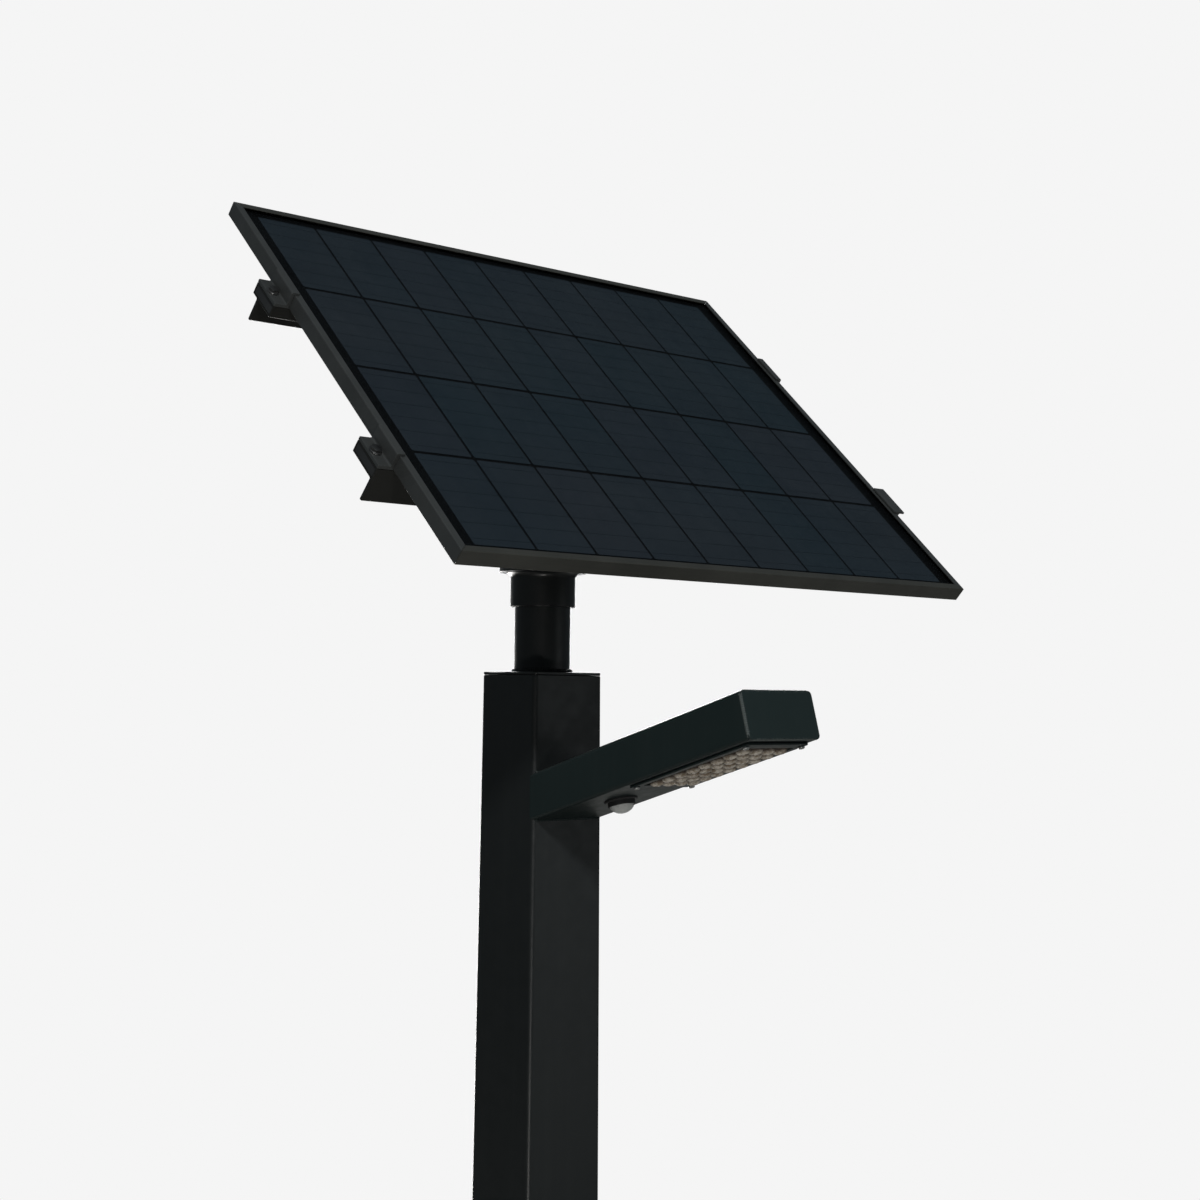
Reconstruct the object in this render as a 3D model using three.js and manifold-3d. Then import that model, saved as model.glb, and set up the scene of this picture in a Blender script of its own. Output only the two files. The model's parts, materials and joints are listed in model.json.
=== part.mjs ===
// Solar street lamp: a tapered square pole with a rising luminaire arm, and a solar panel on a
// swivelling, tilting bracket at the pole's top. Millimetres, +Z up.
// The origin is the centre of the base plate's underside. The arm and the panel face -Y.

import * as THREE from 'three';
import { mergeVertices } from 'three/addons/utils/BufferGeometryUtils.js';
import Module from 'manifold-3d';

const wasm = await Module();
wasm.setup();

const GAP = 0.3;                              // air left between pieces that touch
const SCREW_CLEARANCE = 0.4;                  // added to a screw's radius for its hole
const OVERRUN = 1;                            // how far a cutting tool runs past what it cuts

// Base plate and pole
const BASE = { side: 300, thick: 20, corner: 12, anchorPitch: 220, anchorRadius: 12 };
const CABLE_SLOT = { width: 30, length: 70, corner: 3, offset: 46 };
const POLE = { top: 4000, topWidth: 117, taper: 0.01, wall: 4, cap: 4 };
const POLE_CABLE_RADIUS = 25;
const ARM_CABLE_RADIUS = 18;

// Spigot on the pole's top, and the collar and plate that turn on it
const SPIGOT = { radius: 38.05, wall: 4, height: 135, weld: 6, weldHeight: 7.8 };
const COLLAR = { radius: 44.5, bore: 38.6, bottom: 89, top: 135.7, flare: 7.5 };
const HEAD_PLATE = { radius: 60, thick: 8, hole: 15 };
const SET_SCREW = { radius: 5, length: 12, height: 110, socket: 2.8, socketDepth: 4 };

// Tilt bracket: two yoke plates stand on the head plate, two ears hang from the panel
const PIVOT_HEIGHT = 216;                     // above the pole's top
const YOKE = { inner: 36, outer: 42, halfWidth: 42, boss: 30, quadrant: 76, shoulder: -10, heel: 20 };
const YOKE_ARC = { bossEnd: 70, start: 95, end: 160 };   // degrees
const LOCK_ARC = { radius: 60, halfWidth: 6.6, margin: 2.5 };
const TILT = THREE.MathUtils.degToRad(43.2);
const TILT_RANGE = [-28, 12];                 // degrees from the rest tilt
const EAR = { inner: 42.6, outer: 47.6, boss: 28, waist: 150, flange: 90, skirt: 60 };
const PIVOT_BOLT = { radius: 8, hole: 8.4, reach: 49, hex: 14, head: 10, nut: 12, tail: 2 };
const LOCK_BOLT = { radius: 6, hole: 6.4, hex: 10.5, head: 8, washer: 12, washerThick: 3, nut: 8, tail: 1 };

// Solar panel: x across, y up the slope, z out of the glass, measured from the pivot
const PANEL = { width: 843, height: 700, depth: 20, pivotDepth: 195.9 };
const FRAME = { wall: 2, lip: 10, lipThick: 1.6, shelf: 8, shelfTop: 6.6, foot: 24, skin: 1.6 };
const GLASS = { front: 1.9, thick: 3.2, sideGap: 0.6 };
const CELLS = { width: 787, height: 666, front: 5.2, thick: 0.5 };
const BACK_SHEET = { front: 5.8, thick: 0.5 };
const RAIL = { half: 443, offset: 160, halfHeight: 27, front: 20.3, back: 36, wall: 2, web: 4, webBack: 66 };
const RAIL_WEB_LOW = { upper: 10, lower: -27 };
const CLAMP = { leg: 5, lip: 6.5, thick: 3, foot: 4.7, ledge: 9 };
const CLAMP_BOLT = { radius: 4, hole: 4.4, inset: 8.1, hex: 7.5, head: 5.3, nut: 6, tail: 0.5 };
const JUNCTION_BOX = { width: 120, height: 92, depth: 24, corner: 8, centre: 262 };

// Luminaire arm: x across, y back towards the pole, z square to the arm's top
const ARM = { rise: THREE.MathUtils.degToRad(16.07), width: 120, height: 60.2, length: 417, wall: 4 };
const ARM_FOOT = 195.8;                       // arm's lower edge on the pole, below the pole's top
const ARM_CORNER = { outer: 5, inner: 2 };
const END_CAP = 3.7;
const MODULE = { centre: -296.5, width: 105, length: 217, thick: 3.2, corner: 6 };
const MODULE_CUTOUT = { width: 100, length: 209, corner: 4 };
const LENS_WINDOW = { width: 85, length: 183, corner: 4 };
const LENS_PLATE = { width: 90, length: 187, corner: 4, top: 3, raise: 2, sideGap: 0.5 };
const LENS = { rows: 4, columns: 8, pitchX: 20.6, pitchY: 22.2, radius: 9.2, squash: 0.55, sunk: 0.4 };
const BOARD = { width: 86, length: 178, corner: 3, thick: 1.6 };
const SINK = { width: 99, length: 208, bottom: 10, base: 6, fin: 3, fins: 9, height: 28, finEnd: 4 };
const BEZEL_SCREW = { radius: 2, hole: 2.4, head: 4.2, headHeight: 2.8, x: 46.5, y: 99, tip: 13.5 };
const BEZEL_SCREW_HOLE_END = 14.5;
const DRIVER = { width: 84, length: 66, height: 32, corner: 4, y: -50 };
const SENSOR = { y: -112, hole: 15, neck: 14, neckLength: 12, flange: 22, flangeHeight: 3, chamfer: 1 };
const DOME = { radius: 18, height: 15, wall: 1.4, steps: 5 };

// Battery compartment and its door, in the pole's back face
const DOOR = { z: 780, left: -58, right: 64, height: 484, thick: 3, corner: 8 };
const HAND_HOLE = { width: 96, height: 440, corner: 15 };
const DOOR_GASKET = { thick: 2, outer: 110, bar: 5.5, corner: 20 };
const DOOR_SCREW = { x: 59.3, z: 200, radius: 3, hole: 4.2, head: 5.2, headHeight: 3.2, reach: 8 };
const DOOR_SCREW_SOCKET = { radius: 2.4, depth: 2 };
const HINGE = { x: -64.2, radius: 5.5, pin: 3, bore: 3.4, length: 30, z: 170, pinEnd: 4, roof: 3 };
const TRAY = { width: 94, back: -62, thick: 2, lip: 7.5, bottom: 566, top: 992 };
const BATTERY = { width: 90, depth: 79, bottom: 592, height: 300, corner: 5 };
const STRAP = { thick: 1.4, width: 22, z: 742 };
const CONTROLLER = { width: 86, depth: 36, bottom: 900, height: 80, corner: 4 };

const STEEL_TURN = 32;                        // facets on large round pieces
const BOLT_TURN = 16;                         // facets on shanks and holes
const SMALL_TURN = 12;                        // facets on screw heads
const FINE_TURN = 8;                          // facets on thin screws
const DOME_TURN = 24;
const HEX = 6;

const poleWidth = (z) => POLE.topWidth + (POLE.top - z) * POLE.taper;

// ---------------------------------------------------------------- shape helpers

function solidOf(geometry) {
  const bare = geometry.clone();
  bare.deleteAttribute('normal');
  bare.deleteAttribute('uv');
  const merged = mergeVertices(bare, 1e-4);
  return new wasm.Manifold(new wasm.Mesh({
    numProp: 3,
    vertProperties: merged.attributes.position.array,
    triVerts: new Uint32Array(merged.index.array),
  }));
}

function geometryOf(solid) {
  const { vertProperties, triVerts } = solid.getMesh();
  const geometry = new THREE.BufferGeometry();
  geometry.setAttribute('position', new THREE.BufferAttribute(vertProperties, 3));
  geometry.setIndex(new THREE.BufferAttribute(triVerts, 1));
  const flat = geometry.toNonIndexed();
  flat.computeVertexNormals();
  return flat;
}

function cut(geometry, ...tools) {
  return geometryOf(tools.reduce((left, tool) => left.subtract(solidOf(tool)), solidOf(geometry)));
}

function join(geometry, ...others) {
  return geometryOf(others.reduce((sum, other) => sum.add(solidOf(other)), solidOf(geometry)));
}

function boxBetween([x0, y0, z0], [x1, y1, z1]) {
  const box = new THREE.BoxGeometry(x1 - x0, y1 - y0, z1 - z0);
  return box.translate((x0 + x1) / 2, (y0 + y1) / 2, (z0 + z1) / 2);
}

function roundedRect(width, height, radius, Kind = THREE.Shape) {
  const x = width / 2;
  const y = height / 2;
  const shape = new Kind();
  shape.moveTo(-x + radius, -y);
  shape.lineTo(x - radius, -y);
  shape.absarc(x - radius, -y + radius, radius, -Math.PI / 2, 0);
  shape.lineTo(x, y - radius);
  shape.absarc(x - radius, y - radius, radius, 0, Math.PI / 2);
  shape.lineTo(-x + radius, y);
  shape.absarc(-x + radius, y - radius, radius, Math.PI / 2, Math.PI);
  shape.lineTo(-x, -y + radius);
  shape.absarc(-x + radius, -y + radius, radius, Math.PI, Math.PI * 1.5);
  return shape;
}

function ringShape(width, height, radius, bar) {
  const shape = roundedRect(width, height, radius);
  shape.holes.push(roundedRect(width - 2 * bar, height - 2 * bar, Math.max(radius - bar, 1), THREE.Path));
  return shape;
}

function polygon(points) {
  return new THREE.Shape(points.map(([x, y]) => new THREE.Vector2(x, y)));
}

function roundHole(x, y, radius) {
  return new THREE.Path().absarc(x, y, radius, 0, Math.PI * 2, true);
}

// Extruded along z from z0 to z1.
function prism(shape, z0, z1, curveSegments = 4) {
  const options = { depth: z1 - z0, bevelEnabled: false, curveSegments };
  return new THREE.ExtrudeGeometry(shape, options).translate(0, 0, z0);
}

// A shape drawn in x and z, extruded along y.
function facePlate(shape, y0, y1, curveSegments = 4) {
  return prism(shape, -y1, -y0, curveSegments).rotateX(Math.PI / 2);
}

// A shape drawn in y and z, extruded along x.
function sidePlate(shape, x0, x1, curveSegments = 4) {
  const turn = new THREE.Matrix4().makeBasis(
    new THREE.Vector3(0, 1, 0),
    new THREE.Vector3(0, 0, 1),
    new THREE.Vector3(1, 0, 0),
  );
  return prism(shape, x0, x1, curveSegments).applyMatrix4(turn);
}

// Cylinders and prisms of n sides along each axis. Holes pass their own radius.
function rodZ(radius, z0, z1, sides = BOLT_TURN) {
  return new THREE.CylinderGeometry(radius, radius, z1 - z0, sides)
    .rotateX(Math.PI / 2)
    .translate(0, 0, (z0 + z1) / 2);
}

function rodY(radius, y0, y1, sides = BOLT_TURN) {
  return new THREE.CylinderGeometry(radius, radius, y1 - y0, sides).translate(0, (y0 + y1) / 2, 0);
}

function rodX(radius, x0, x1, sides = BOLT_TURN) {
  return new THREE.CylinderGeometry(radius, radius, x1 - x0, sides)
    .rotateZ(-Math.PI / 2)
    .translate((x0 + x1) / 2, 0, 0);
}

// A profile of [radius, z] points turned about z. Its points run anticlockwise.
function turned(points, sides = STEEL_TURN) {
  const profile = points.map(([radius, z]) => new THREE.Vector2(radius, z));
  return new THREE.LatheGeometry(profile, sides).rotateX(Math.PI / 2);
}

// The same, for a ring: the profile closes on itself.
function turnedRing(points, sides = STEEL_TURN) {
  return turned([...points, points[0]], sides);
}

// ---------------------------------------------------------------- materials

function material(color, roughness, metalness) {
  return new THREE.MeshStandardMaterial({ color, roughness, metalness });
}

const POWDER_COAT = material(0x1b1e1f, 0.55, 0.3);
const ANODISED = material(0x34342f, 0.45, 0.7);
const ZINC = material(0x3a3c3c, 0.4, 0.9);
const STAINLESS = material(0x8b8e90, 0.35, 1.0);
const BARE_ALUMINIUM = material(0xa7a9aa, 0.5, 0.9);
const GLASS_FINISH = material(0x10161c, 0.08, 0.0);
const CELL_BLUE = material(0x141e2a, 0.3, 0.2);
const BACK_SHEET_FINISH = material(0x1a1a1c, 0.7, 0.0);
const RUBBER = material(0x0e0e0e, 0.9, 0.0);
const BOARD_WHITE = material(0xd8d8d0, 0.6, 0.0);
const LENS_CLEAR = material(0xb9a98f, 0.2, 0.0);
const DOME_FROST = material(0xb8bcbb, 0.35, 0.0);
const BLACK_PLASTIC = material(0x151617, 0.5, 0.0);
const BATTERY_BLUE = material(0x1f3c66, 0.45, 0.0);
const STRAP_WEB = material(0x1c1c1e, 0.85, 0.0);

const lamp = new THREE.Group();

function place(group, name, geometry, finish) {
  const mesh = new THREE.Mesh(geometry, finish);
  mesh.name = name;
  group.add(mesh);
  return mesh;
}

function subgroup(x, y, z, tiltX = 0) {
  const group = new THREE.Group();
  group.position.set(x, y, z);
  group.rotation.x = tiltX;
  lamp.add(group);
  return group;
}

// ---------------------------------------------------------------- base plate and pole

function basePlate() {
  const shape = roundedRect(BASE.side, BASE.side, BASE.corner);
  for (const x of [-1, 1]) {
    for (const y of [-1, 1]) {
      const reach = BASE.anchorPitch / 2;
      shape.holes.push(roundHole(x * reach, y * reach, BASE.anchorRadius));
    }
  }
  const plate = prism(shape, 0, BASE.thick);
  const slot = roundedRect(CABLE_SLOT.length, CABLE_SLOT.width, CABLE_SLOT.corner);
  const slots = [-1, 1].map((side) => prism(slot, -OVERRUN, BASE.thick + OVERRUN)
    .translate(0, side * CABLE_SLOT.offset, 0));
  return cut(plate, ...slots);
}

const poleFoot = BASE.thick + GAP;
const footHalf = poleWidth(poleFoot) / 2;

// A plan drawn at the pole's foot, extruded up the pole. It narrows as the pole does.
function taperedPlate(shape) {
  const plate = prism(shape, poleFoot, POLE.top - POLE.cap - GAP);
  const position = plate.attributes.position;
  for (let i = 0; i < position.count; i += 1) {
    const shrink = footHalf - poleWidth(position.getZ(i)) / 2;
    const x = position.getX(i);
    const y = position.getY(i);
    position.setXY(i, x - Math.sign(x) * shrink, y - Math.sign(y) * shrink);
  }
  return plate;
}

// A wall across the pole's whole front, with both of the pole's corners rounded on it.
function wideWall() {
  const corner = footHalf - POLE.wall;
  const shape = new THREE.Shape();
  shape.moveTo(-footHalf, -corner);
  shape.absarc(-corner, -corner, POLE.wall, Math.PI, Math.PI * 1.5);
  shape.absarc(corner, -corner, POLE.wall, Math.PI * 1.5, Math.PI * 2);
  return taperedPlate(shape);
}

// A wall on the pole's right, between the two wide ones.
function sideWall() {
  const end = footHalf - POLE.wall - GAP;
  return taperedPlate(polygon([
    [footHalf - POLE.wall, -end],
    [footHalf, -end],
    [footHalf, end],
    [footHalf - POLE.wall, end],
  ]));
}

function poleWallFront() {
  const level = POLE.top - ARM_FOOT + ARM.height / 2;
  const face = -poleWidth(level) / 2;
  const cablePass = rodY(ARM_CABLE_RADIUS, face - OVERRUN, face + POLE.wall + OVERRUN)
    .translate(0, 0, level);
  return cut(wideWall(), cablePass);
}

function poleWallRear() {
  const outside = poleWidth(poleFoot) / 2;
  const inside = outside - 4 * POLE.wall;
  const handHole = roundedRect(HAND_HOLE.width, HAND_HOLE.height, HAND_HOLE.corner);
  const opening = facePlate(handHole, inside, outside).translate(0, 0, DOOR.z);
  const screwHoles = [-1, 1].map((side) => rodY(DOOR_SCREW.hole, inside, outside)
    .translate(DOOR_SCREW.x, 0, DOOR.z + side * DOOR_SCREW.z));
  return cut(wideWall().rotateZ(Math.PI), opening, ...screwHoles);
}

function poleCap() {
  const shape = roundedRect(POLE.topWidth, POLE.topWidth, POLE.wall);
  shape.holes.push(roundHole(0, 0, POLE_CABLE_RADIUS));
  return prism(shape, POLE.top - POLE.cap, POLE.top);
}

place(lamp, 'base_plate', basePlate(), POWDER_COAT);
place(lamp, 'pole_wall_front', poleWallFront(), POWDER_COAT);
place(lamp, 'pole_wall_rear', poleWallRear(), POWDER_COAT);
place(lamp, 'pole_wall_right', sideWall(), POWDER_COAT);
place(lamp, 'pole_wall_left', sideWall().rotateZ(Math.PI), POWDER_COAT);
place(lamp, 'pole_cap', poleCap(), POWDER_COAT);

// ---------------------------------------------------------------- spigot and swivel head

const head = subgroup(0, 0, POLE.top);

function spigot() {
  const inside = SPIGOT.radius - SPIGOT.wall;
  return turnedRing([
    [inside, GAP],
    [SPIGOT.radius + SPIGOT.weld, GAP],
    [SPIGOT.radius + SPIGOT.weld * 0.35, SPIGOT.weld * 0.5],
    [SPIGOT.radius, SPIGOT.weldHeight],
    [SPIGOT.radius, SPIGOT.height],
    [inside, SPIGOT.height],
  ]);
}

function collar() {
  const ring = turnedRing([
    [COLLAR.bore, COLLAR.bottom],
    [COLLAR.radius, COLLAR.bottom],
    [COLLAR.radius, COLLAR.top - COLLAR.flare],
    [COLLAR.radius + COLLAR.flare * 0.3, COLLAR.top - COLLAR.flare * 0.3],
    [COLLAR.radius + COLLAR.flare, COLLAR.top],
    [COLLAR.bore, COLLAR.top],
  ]);
  const hole = rodY(SET_SCREW.radius + SCREW_CLEARANCE, SPIGOT.radius, COLLAR.radius + COLLAR.flare);
  return cut(ring, hole.translate(0, 0, SET_SCREW.height));
}

function headPlate() {
  const bottom = COLLAR.top + GAP;
  const top = bottom + HEAD_PLATE.thick;
  return turnedRing([
    [HEAD_PLATE.hole, bottom],
    [HEAD_PLATE.radius, bottom],
    [HEAD_PLATE.radius, top],
    [HEAD_PLATE.hole, top],
  ]);
}

function setScrew() {
  const start = SPIGOT.radius + GAP;
  const end = start + SET_SCREW.length;
  const socket = rodY(SET_SCREW.socket, end - SET_SCREW.socketDepth, end + OVERRUN, HEX);
  return cut(rodY(SET_SCREW.radius, start, end), socket).translate(0, 0, SET_SCREW.height);
}

place(head, 'spigot', spigot(), POWDER_COAT);
place(head, 'swivel_collar', collar(), POWDER_COAT);
place(head, 'head_plate', headPlate(), POWDER_COAT);
place(head, 'set_screw', setScrew(), STAINLESS);

// ---------------------------------------------------------------- yoke plates

const yokeGroup = subgroup(0, 0, POLE.top + PIVOT_HEIGHT);

// The slot that the lock bolt slides along, as an arc about the pivot with round ends.
function lockSlot() {
  const rest = Math.PI / 2 + TILT;
  const [low, high] = TILT_RANGE.map((degrees) => rest + THREE.MathUtils.degToRad(degrees));
  const margin = THREE.MathUtils.degToRad(LOCK_ARC.margin);
  const start = low - margin;
  const end = high + margin;
  const r = LOCK_ARC.radius;
  const w = LOCK_ARC.halfWidth;
  const slot = new THREE.Path();
  slot.absarc(0, 0, r + w, start, end);
  slot.absarc(r * Math.cos(end), r * Math.sin(end), w, end, end + Math.PI);
  slot.absarc(0, 0, r - w, end, start, true);
  slot.absarc(r * Math.cos(start), r * Math.sin(start), w, start + Math.PI, start + 2 * Math.PI);
  return slot;
}

function yokePlate(side) {
  const foot = COLLAR.top + GAP + HEAD_PLATE.thick + GAP - PIVOT_HEIGHT;
  const degree = Math.PI / 180;
  const shape = new THREE.Shape();
  shape.moveTo(-YOKE.halfWidth, foot);
  shape.lineTo(YOKE.halfWidth, foot);
  shape.lineTo(YOKE.boss, YOKE.shoulder);
  shape.absarc(0, 0, YOKE.boss, 0, YOKE_ARC.bossEnd * degree);
  shape.absarc(0, 0, YOKE.quadrant, YOKE_ARC.start * degree, YOKE_ARC.end * degree);
  shape.lineTo(-YOKE.halfWidth, foot + YOKE.heel);
  shape.closePath();
  shape.holes.push(roundHole(0, 0, PIVOT_BOLT.hole), lockSlot());
  const [x0, x1] = side > 0 ? [YOKE.inner, YOKE.outer] : [-YOKE.outer, -YOKE.inner];
  return sidePlate(shape, x0, x1, 10);
}

place(yokeGroup, 'yoke_left', yokePlate(-1), POWDER_COAT);
place(yokeGroup, 'yoke_right', yokePlate(1), POWDER_COAT);

// ---------------------------------------------------------------- solar panel

const panel = subgroup(0, 0, POLE.top + PIVOT_HEIGHT, TILT);
const behind = (depth) => PANEL.pivotDepth - depth;

// One frame member: x is out along the member, y is in from its outer edge. The ends are mitred.
function frameMember(length) {
  const shape = polygon([
    [0, behind(0)],
    [FRAME.lip, behind(0)],
    [FRAME.lip, behind(FRAME.lipThick)],
    [FRAME.wall, behind(FRAME.lipThick)],
    [FRAME.wall, behind(FRAME.shelfTop)],
    [FRAME.shelf, behind(FRAME.shelfTop)],
    [FRAME.shelf, behind(FRAME.shelfTop + FRAME.skin)],
    [FRAME.wall, behind(FRAME.shelfTop + FRAME.skin)],
    [FRAME.wall, behind(PANEL.depth - FRAME.skin)],
    [FRAME.foot, behind(PANEL.depth - FRAME.skin)],
    [FRAME.foot, behind(PANEL.depth)],
    [0, behind(PANEL.depth)],
  ]);
  const member = sidePlate(shape, -1, 1);
  const position = member.attributes.position;
  for (let i = 0; i < position.count; i += 1) {
    const half = length / 2 - position.getY(i) - GAP / 2;
    position.setX(i, Math.sign(position.getX(i)) * half);
  }
  return member;
}

const frameSides = [
  ['frame_bottom', PANEL.width, PANEL.height, 0],
  ['frame_right', PANEL.height, PANEL.width, 1],
  ['frame_top', PANEL.width, PANEL.height, 2],
  ['frame_left', PANEL.height, PANEL.width, 3],
];
for (const [name, length, across, quarterTurns] of frameSides) {
  const member = frameMember(length)
    .translate(0, -across / 2, 0)
    .rotateZ(quarterTurns * Math.PI / 2);
  place(panel, name, member, ANODISED);
}

function sheet(width, height, front, thick) {
  const z = behind(front + thick);
  return boxBetween([-width / 2, -height / 2, z], [width / 2, height / 2, z + thick]);
}

const paneInset = 2 * (FRAME.wall + GLASS.sideGap);
const paneWidth = PANEL.width - paneInset;
const paneHeight = PANEL.height - paneInset;
place(panel, 'front_glass', sheet(paneWidth, paneHeight, GLASS.front, GLASS.thick), GLASS_FINISH);
place(panel, 'cell_sheet', sheet(CELLS.width, CELLS.height, CELLS.front, CELLS.thick), CELL_BLUE);
const backing = sheet(paneWidth, paneHeight, BACK_SHEET.front, BACK_SHEET.thick);
place(panel, 'back_sheet', backing, BACK_SHEET_FINISH);

// A box rail, open at both ends, with one web behind it.
function rail(webLow) {
  const { half, halfHeight: h, wall } = RAIL;
  const box = boxBetween([-half, -h, behind(RAIL.back)], [half, h, behind(RAIL.front)]);
  const web = boxBetween(
    [-half, webLow, behind(RAIL.webBack)],
    [half, webLow + RAIL.web, behind(RAIL.back - wall / 2)],
  );
  const inside = boxBetween(
    [-half - OVERRUN, wall - h, behind(RAIL.back - wall)],
    [half + OVERRUN, h - wall, behind(RAIL.front + wall)],
  );
  const holes = [-1, 1].map((side) => rodZ(
    CLAMP_BOLT.hole,
    behind(RAIL.front + wall + OVERRUN),
    behind(RAIL.front - OVERRUN),
  ).translate(side * (half - CLAMP_BOLT.inset), 0, 0));
  return cut(join(box, web), inside, ...holes);
}

// An end clamp for the right side: its foot sits on the rail and its lip holds the frame's front.
function endClamp(hasLedge) {
  const inner = PANEL.width / 2 + GAP;
  const outer = inner + CLAMP.leg;
  const footBack = behind(RAIL.front - GAP);
  const footFront = footBack + CLAMP.foot;
  const lipBack = behind(-GAP);
  const lipFront = lipBack + CLAMP.thick;
  const ledge = outer + CLAMP.ledge;
  const shape = polygon([
    [RAIL.half, footBack],
    [RAIL.half, footFront],
    [outer, footFront],
    ...(hasLedge ? [[outer, lipBack], [ledge, lipBack], [ledge, lipFront]] : [[outer, lipFront]]),
    [inner - CLAMP.lip, lipFront],
    [inner - CLAMP.lip, lipBack],
    [inner, lipBack],
    [inner, footBack],
  ]);
  const bar = facePlate(shape, -RAIL.halfHeight, RAIL.halfHeight);
  const hole = rodZ(CLAMP_BOLT.hole, footBack - OVERRUN, footFront + OVERRUN)
    .translate(RAIL.half - CLAMP_BOLT.inset, 0, 0);
  return cut(bar, hole);
}

// A hexagon bolt through the clamp's foot, with its nut inside the rail.
function clampBolt() {
  const seat = behind(RAIL.front - GAP) + CLAMP.foot + GAP;
  const nutTop = behind(RAIL.front + RAIL.wall + GAP);
  return join(
    rodZ(CLAMP_BOLT.radius, nutTop - CLAMP_BOLT.nut - CLAMP_BOLT.tail, seat + OVERRUN),
    rodZ(CLAMP_BOLT.hex, seat, seat + CLAMP_BOLT.head, HEX),
    rodZ(CLAMP_BOLT.hex, nutTop - CLAMP_BOLT.nut, nutTop, HEX),
  ).translate(RAIL.half - CLAMP_BOLT.inset, 0, 0);
}

for (const [level, sign] of [['upper', 1], ['lower', -1]]) {
  const y = sign * RAIL.offset;
  place(panel, `rail_${level}`, rail(RAIL_WEB_LOW[level]), ANODISED).position.y = y;
  for (const [side, turn] of [['right', 0], ['left', Math.PI]]) {
    const hasLedge = level === 'lower' && side === 'right';
    const clamp = place(panel, `end_clamp_${level}_${side}`, endClamp(hasLedge), ANODISED);
    const bolt = place(panel, `clamp_bolt_${level}_${side}`, clampBolt(), ZINC);
    for (const piece of [clamp, bolt]) {
      piece.rotation.z = turn;
      piece.position.y = y;
    }
  }
}

// One side of the tilt bracket: a flange bolted to the rails, and an ear down to the pivot.
function tiltBracket(side) {
  const low = -RAIL.offset + RAIL_WEB_LOW.lower + RAIL.web + GAP;
  const high = RAIL.offset + RAIL_WEB_LOW.upper - GAP;
  const front = behind(RAIL.back + GAP);
  const skirt = behind(EAR.skirt);
  const waist = behind(EAR.waist);
  const shape = new THREE.Shape();
  shape.moveTo(high, front);
  shape.lineTo(low, front);
  shape.lineTo(low, skirt);
  shape.lineTo(-EAR.boss, waist);
  shape.lineTo(-EAR.boss, 0);
  shape.absarc(0, 0, EAR.boss, Math.PI, Math.PI * 2);
  shape.lineTo(EAR.boss, waist);
  shape.lineTo(high, skirt);
  shape.holes.push(roundHole(0, 0, PIVOT_BOLT.hole), roundHole(0, LOCK_ARC.radius, LOCK_BOLT.hole));
  const near = side > 0 ? EAR.inner : -EAR.outer;
  const ear = sidePlate(shape, near, near + EAR.outer - EAR.inner, 10);
  const thick = EAR.outer - EAR.inner;
  const [x0, x1] = side > 0 ? [EAR.inner, EAR.flange] : [-EAR.flange, -EAR.inner];
  return join(ear, boxBetween([x0, low, front - thick], [x1, high, front]));
}

function pivotBolt() {
  const { radius, reach, hex, nut, tail } = PIVOT_BOLT;
  return join(
    rodX(radius, -reach - nut - tail, reach + OVERRUN),
    rodX(hex, reach, reach + PIVOT_BOLT.head, HEX),
    rodX(hex, -reach - nut, -reach, HEX),
  );
}

// Its head is outside the ear, and its washer and nut are inside the yoke.
function lockBolt(side) {
  const { radius, hex, washer, washerThick, nut, tail } = LOCK_BOLT;
  const outside = EAR.outer + GAP;
  const inside = YOKE.inner - GAP;
  const nutEnd = inside - washerThick - nut;
  const bolt = join(
    rodX(radius, nutEnd - tail, outside + OVERRUN),
    rodX(hex, outside, outside + LOCK_BOLT.head, HEX),
    rodX(washer, inside - washerThick, inside),
    rodX(hex, nutEnd, inside - washerThick / 2, HEX),
  );
  return bolt.translate(0, 0, LOCK_ARC.radius).rotateZ(side > 0 ? 0 : Math.PI);
}

for (const [name, side] of [['left', -1], ['right', 1]]) {
  place(panel, `tilt_bracket_${name}`, tiltBracket(side), POWDER_COAT);
  place(panel, `lock_bolt_${name}`, lockBolt(side), ZINC);
}
place(panel, 'pivot_bolt', pivotBolt(), ZINC);

function junctionBox() {
  const front = behind(BACK_SHEET.front + BACK_SHEET.thick + GAP);
  const shape = roundedRect(JUNCTION_BOX.width, JUNCTION_BOX.height, JUNCTION_BOX.corner);
  return prism(shape, front - JUNCTION_BOX.depth, front).translate(0, JUNCTION_BOX.centre, 0);
}

place(panel, 'junction_box', junctionBox(), BLACK_PLASTIC);

// ---------------------------------------------------------------- luminaire arm

const armLevel = POLE.top - ARM_FOOT;
const arm = subgroup(0, -poleWidth(armLevel) / 2, armLevel, -ARM.rise);

function armTube() {
  const shape = roundedRect(ARM.width, ARM.height, ARM_CORNER.outer);
  const wall = 2 * ARM.wall;
  shape.holes.push(roundedRect(ARM.width - wall, ARM.height - wall, ARM_CORNER.inner, THREE.Path));
  const tube = facePlate(shape, -ARM.length + END_CAP + GAP, ARM.width / 2)
    .translate(0, 0, ARM.height / 2);
  const reach = ARM.width * 2;
  const pole = boxBetween([-reach, -GAP, -reach], [reach, reach, reach]).rotateX(ARM.rise);
  const cutout = roundedRect(MODULE_CUTOUT.width, MODULE_CUTOUT.length, MODULE_CUTOUT.corner);
  const moduleHole = prism(cutout, -OVERRUN, ARM.wall + OVERRUN).translate(0, MODULE.centre, 0);
  const sensorHole = rodZ(SENSOR.hole, -OVERRUN, ARM.wall + OVERRUN).translate(0, SENSOR.y, 0);
  return cut(tube, pole, moduleHole, sensorHole);
}

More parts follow.
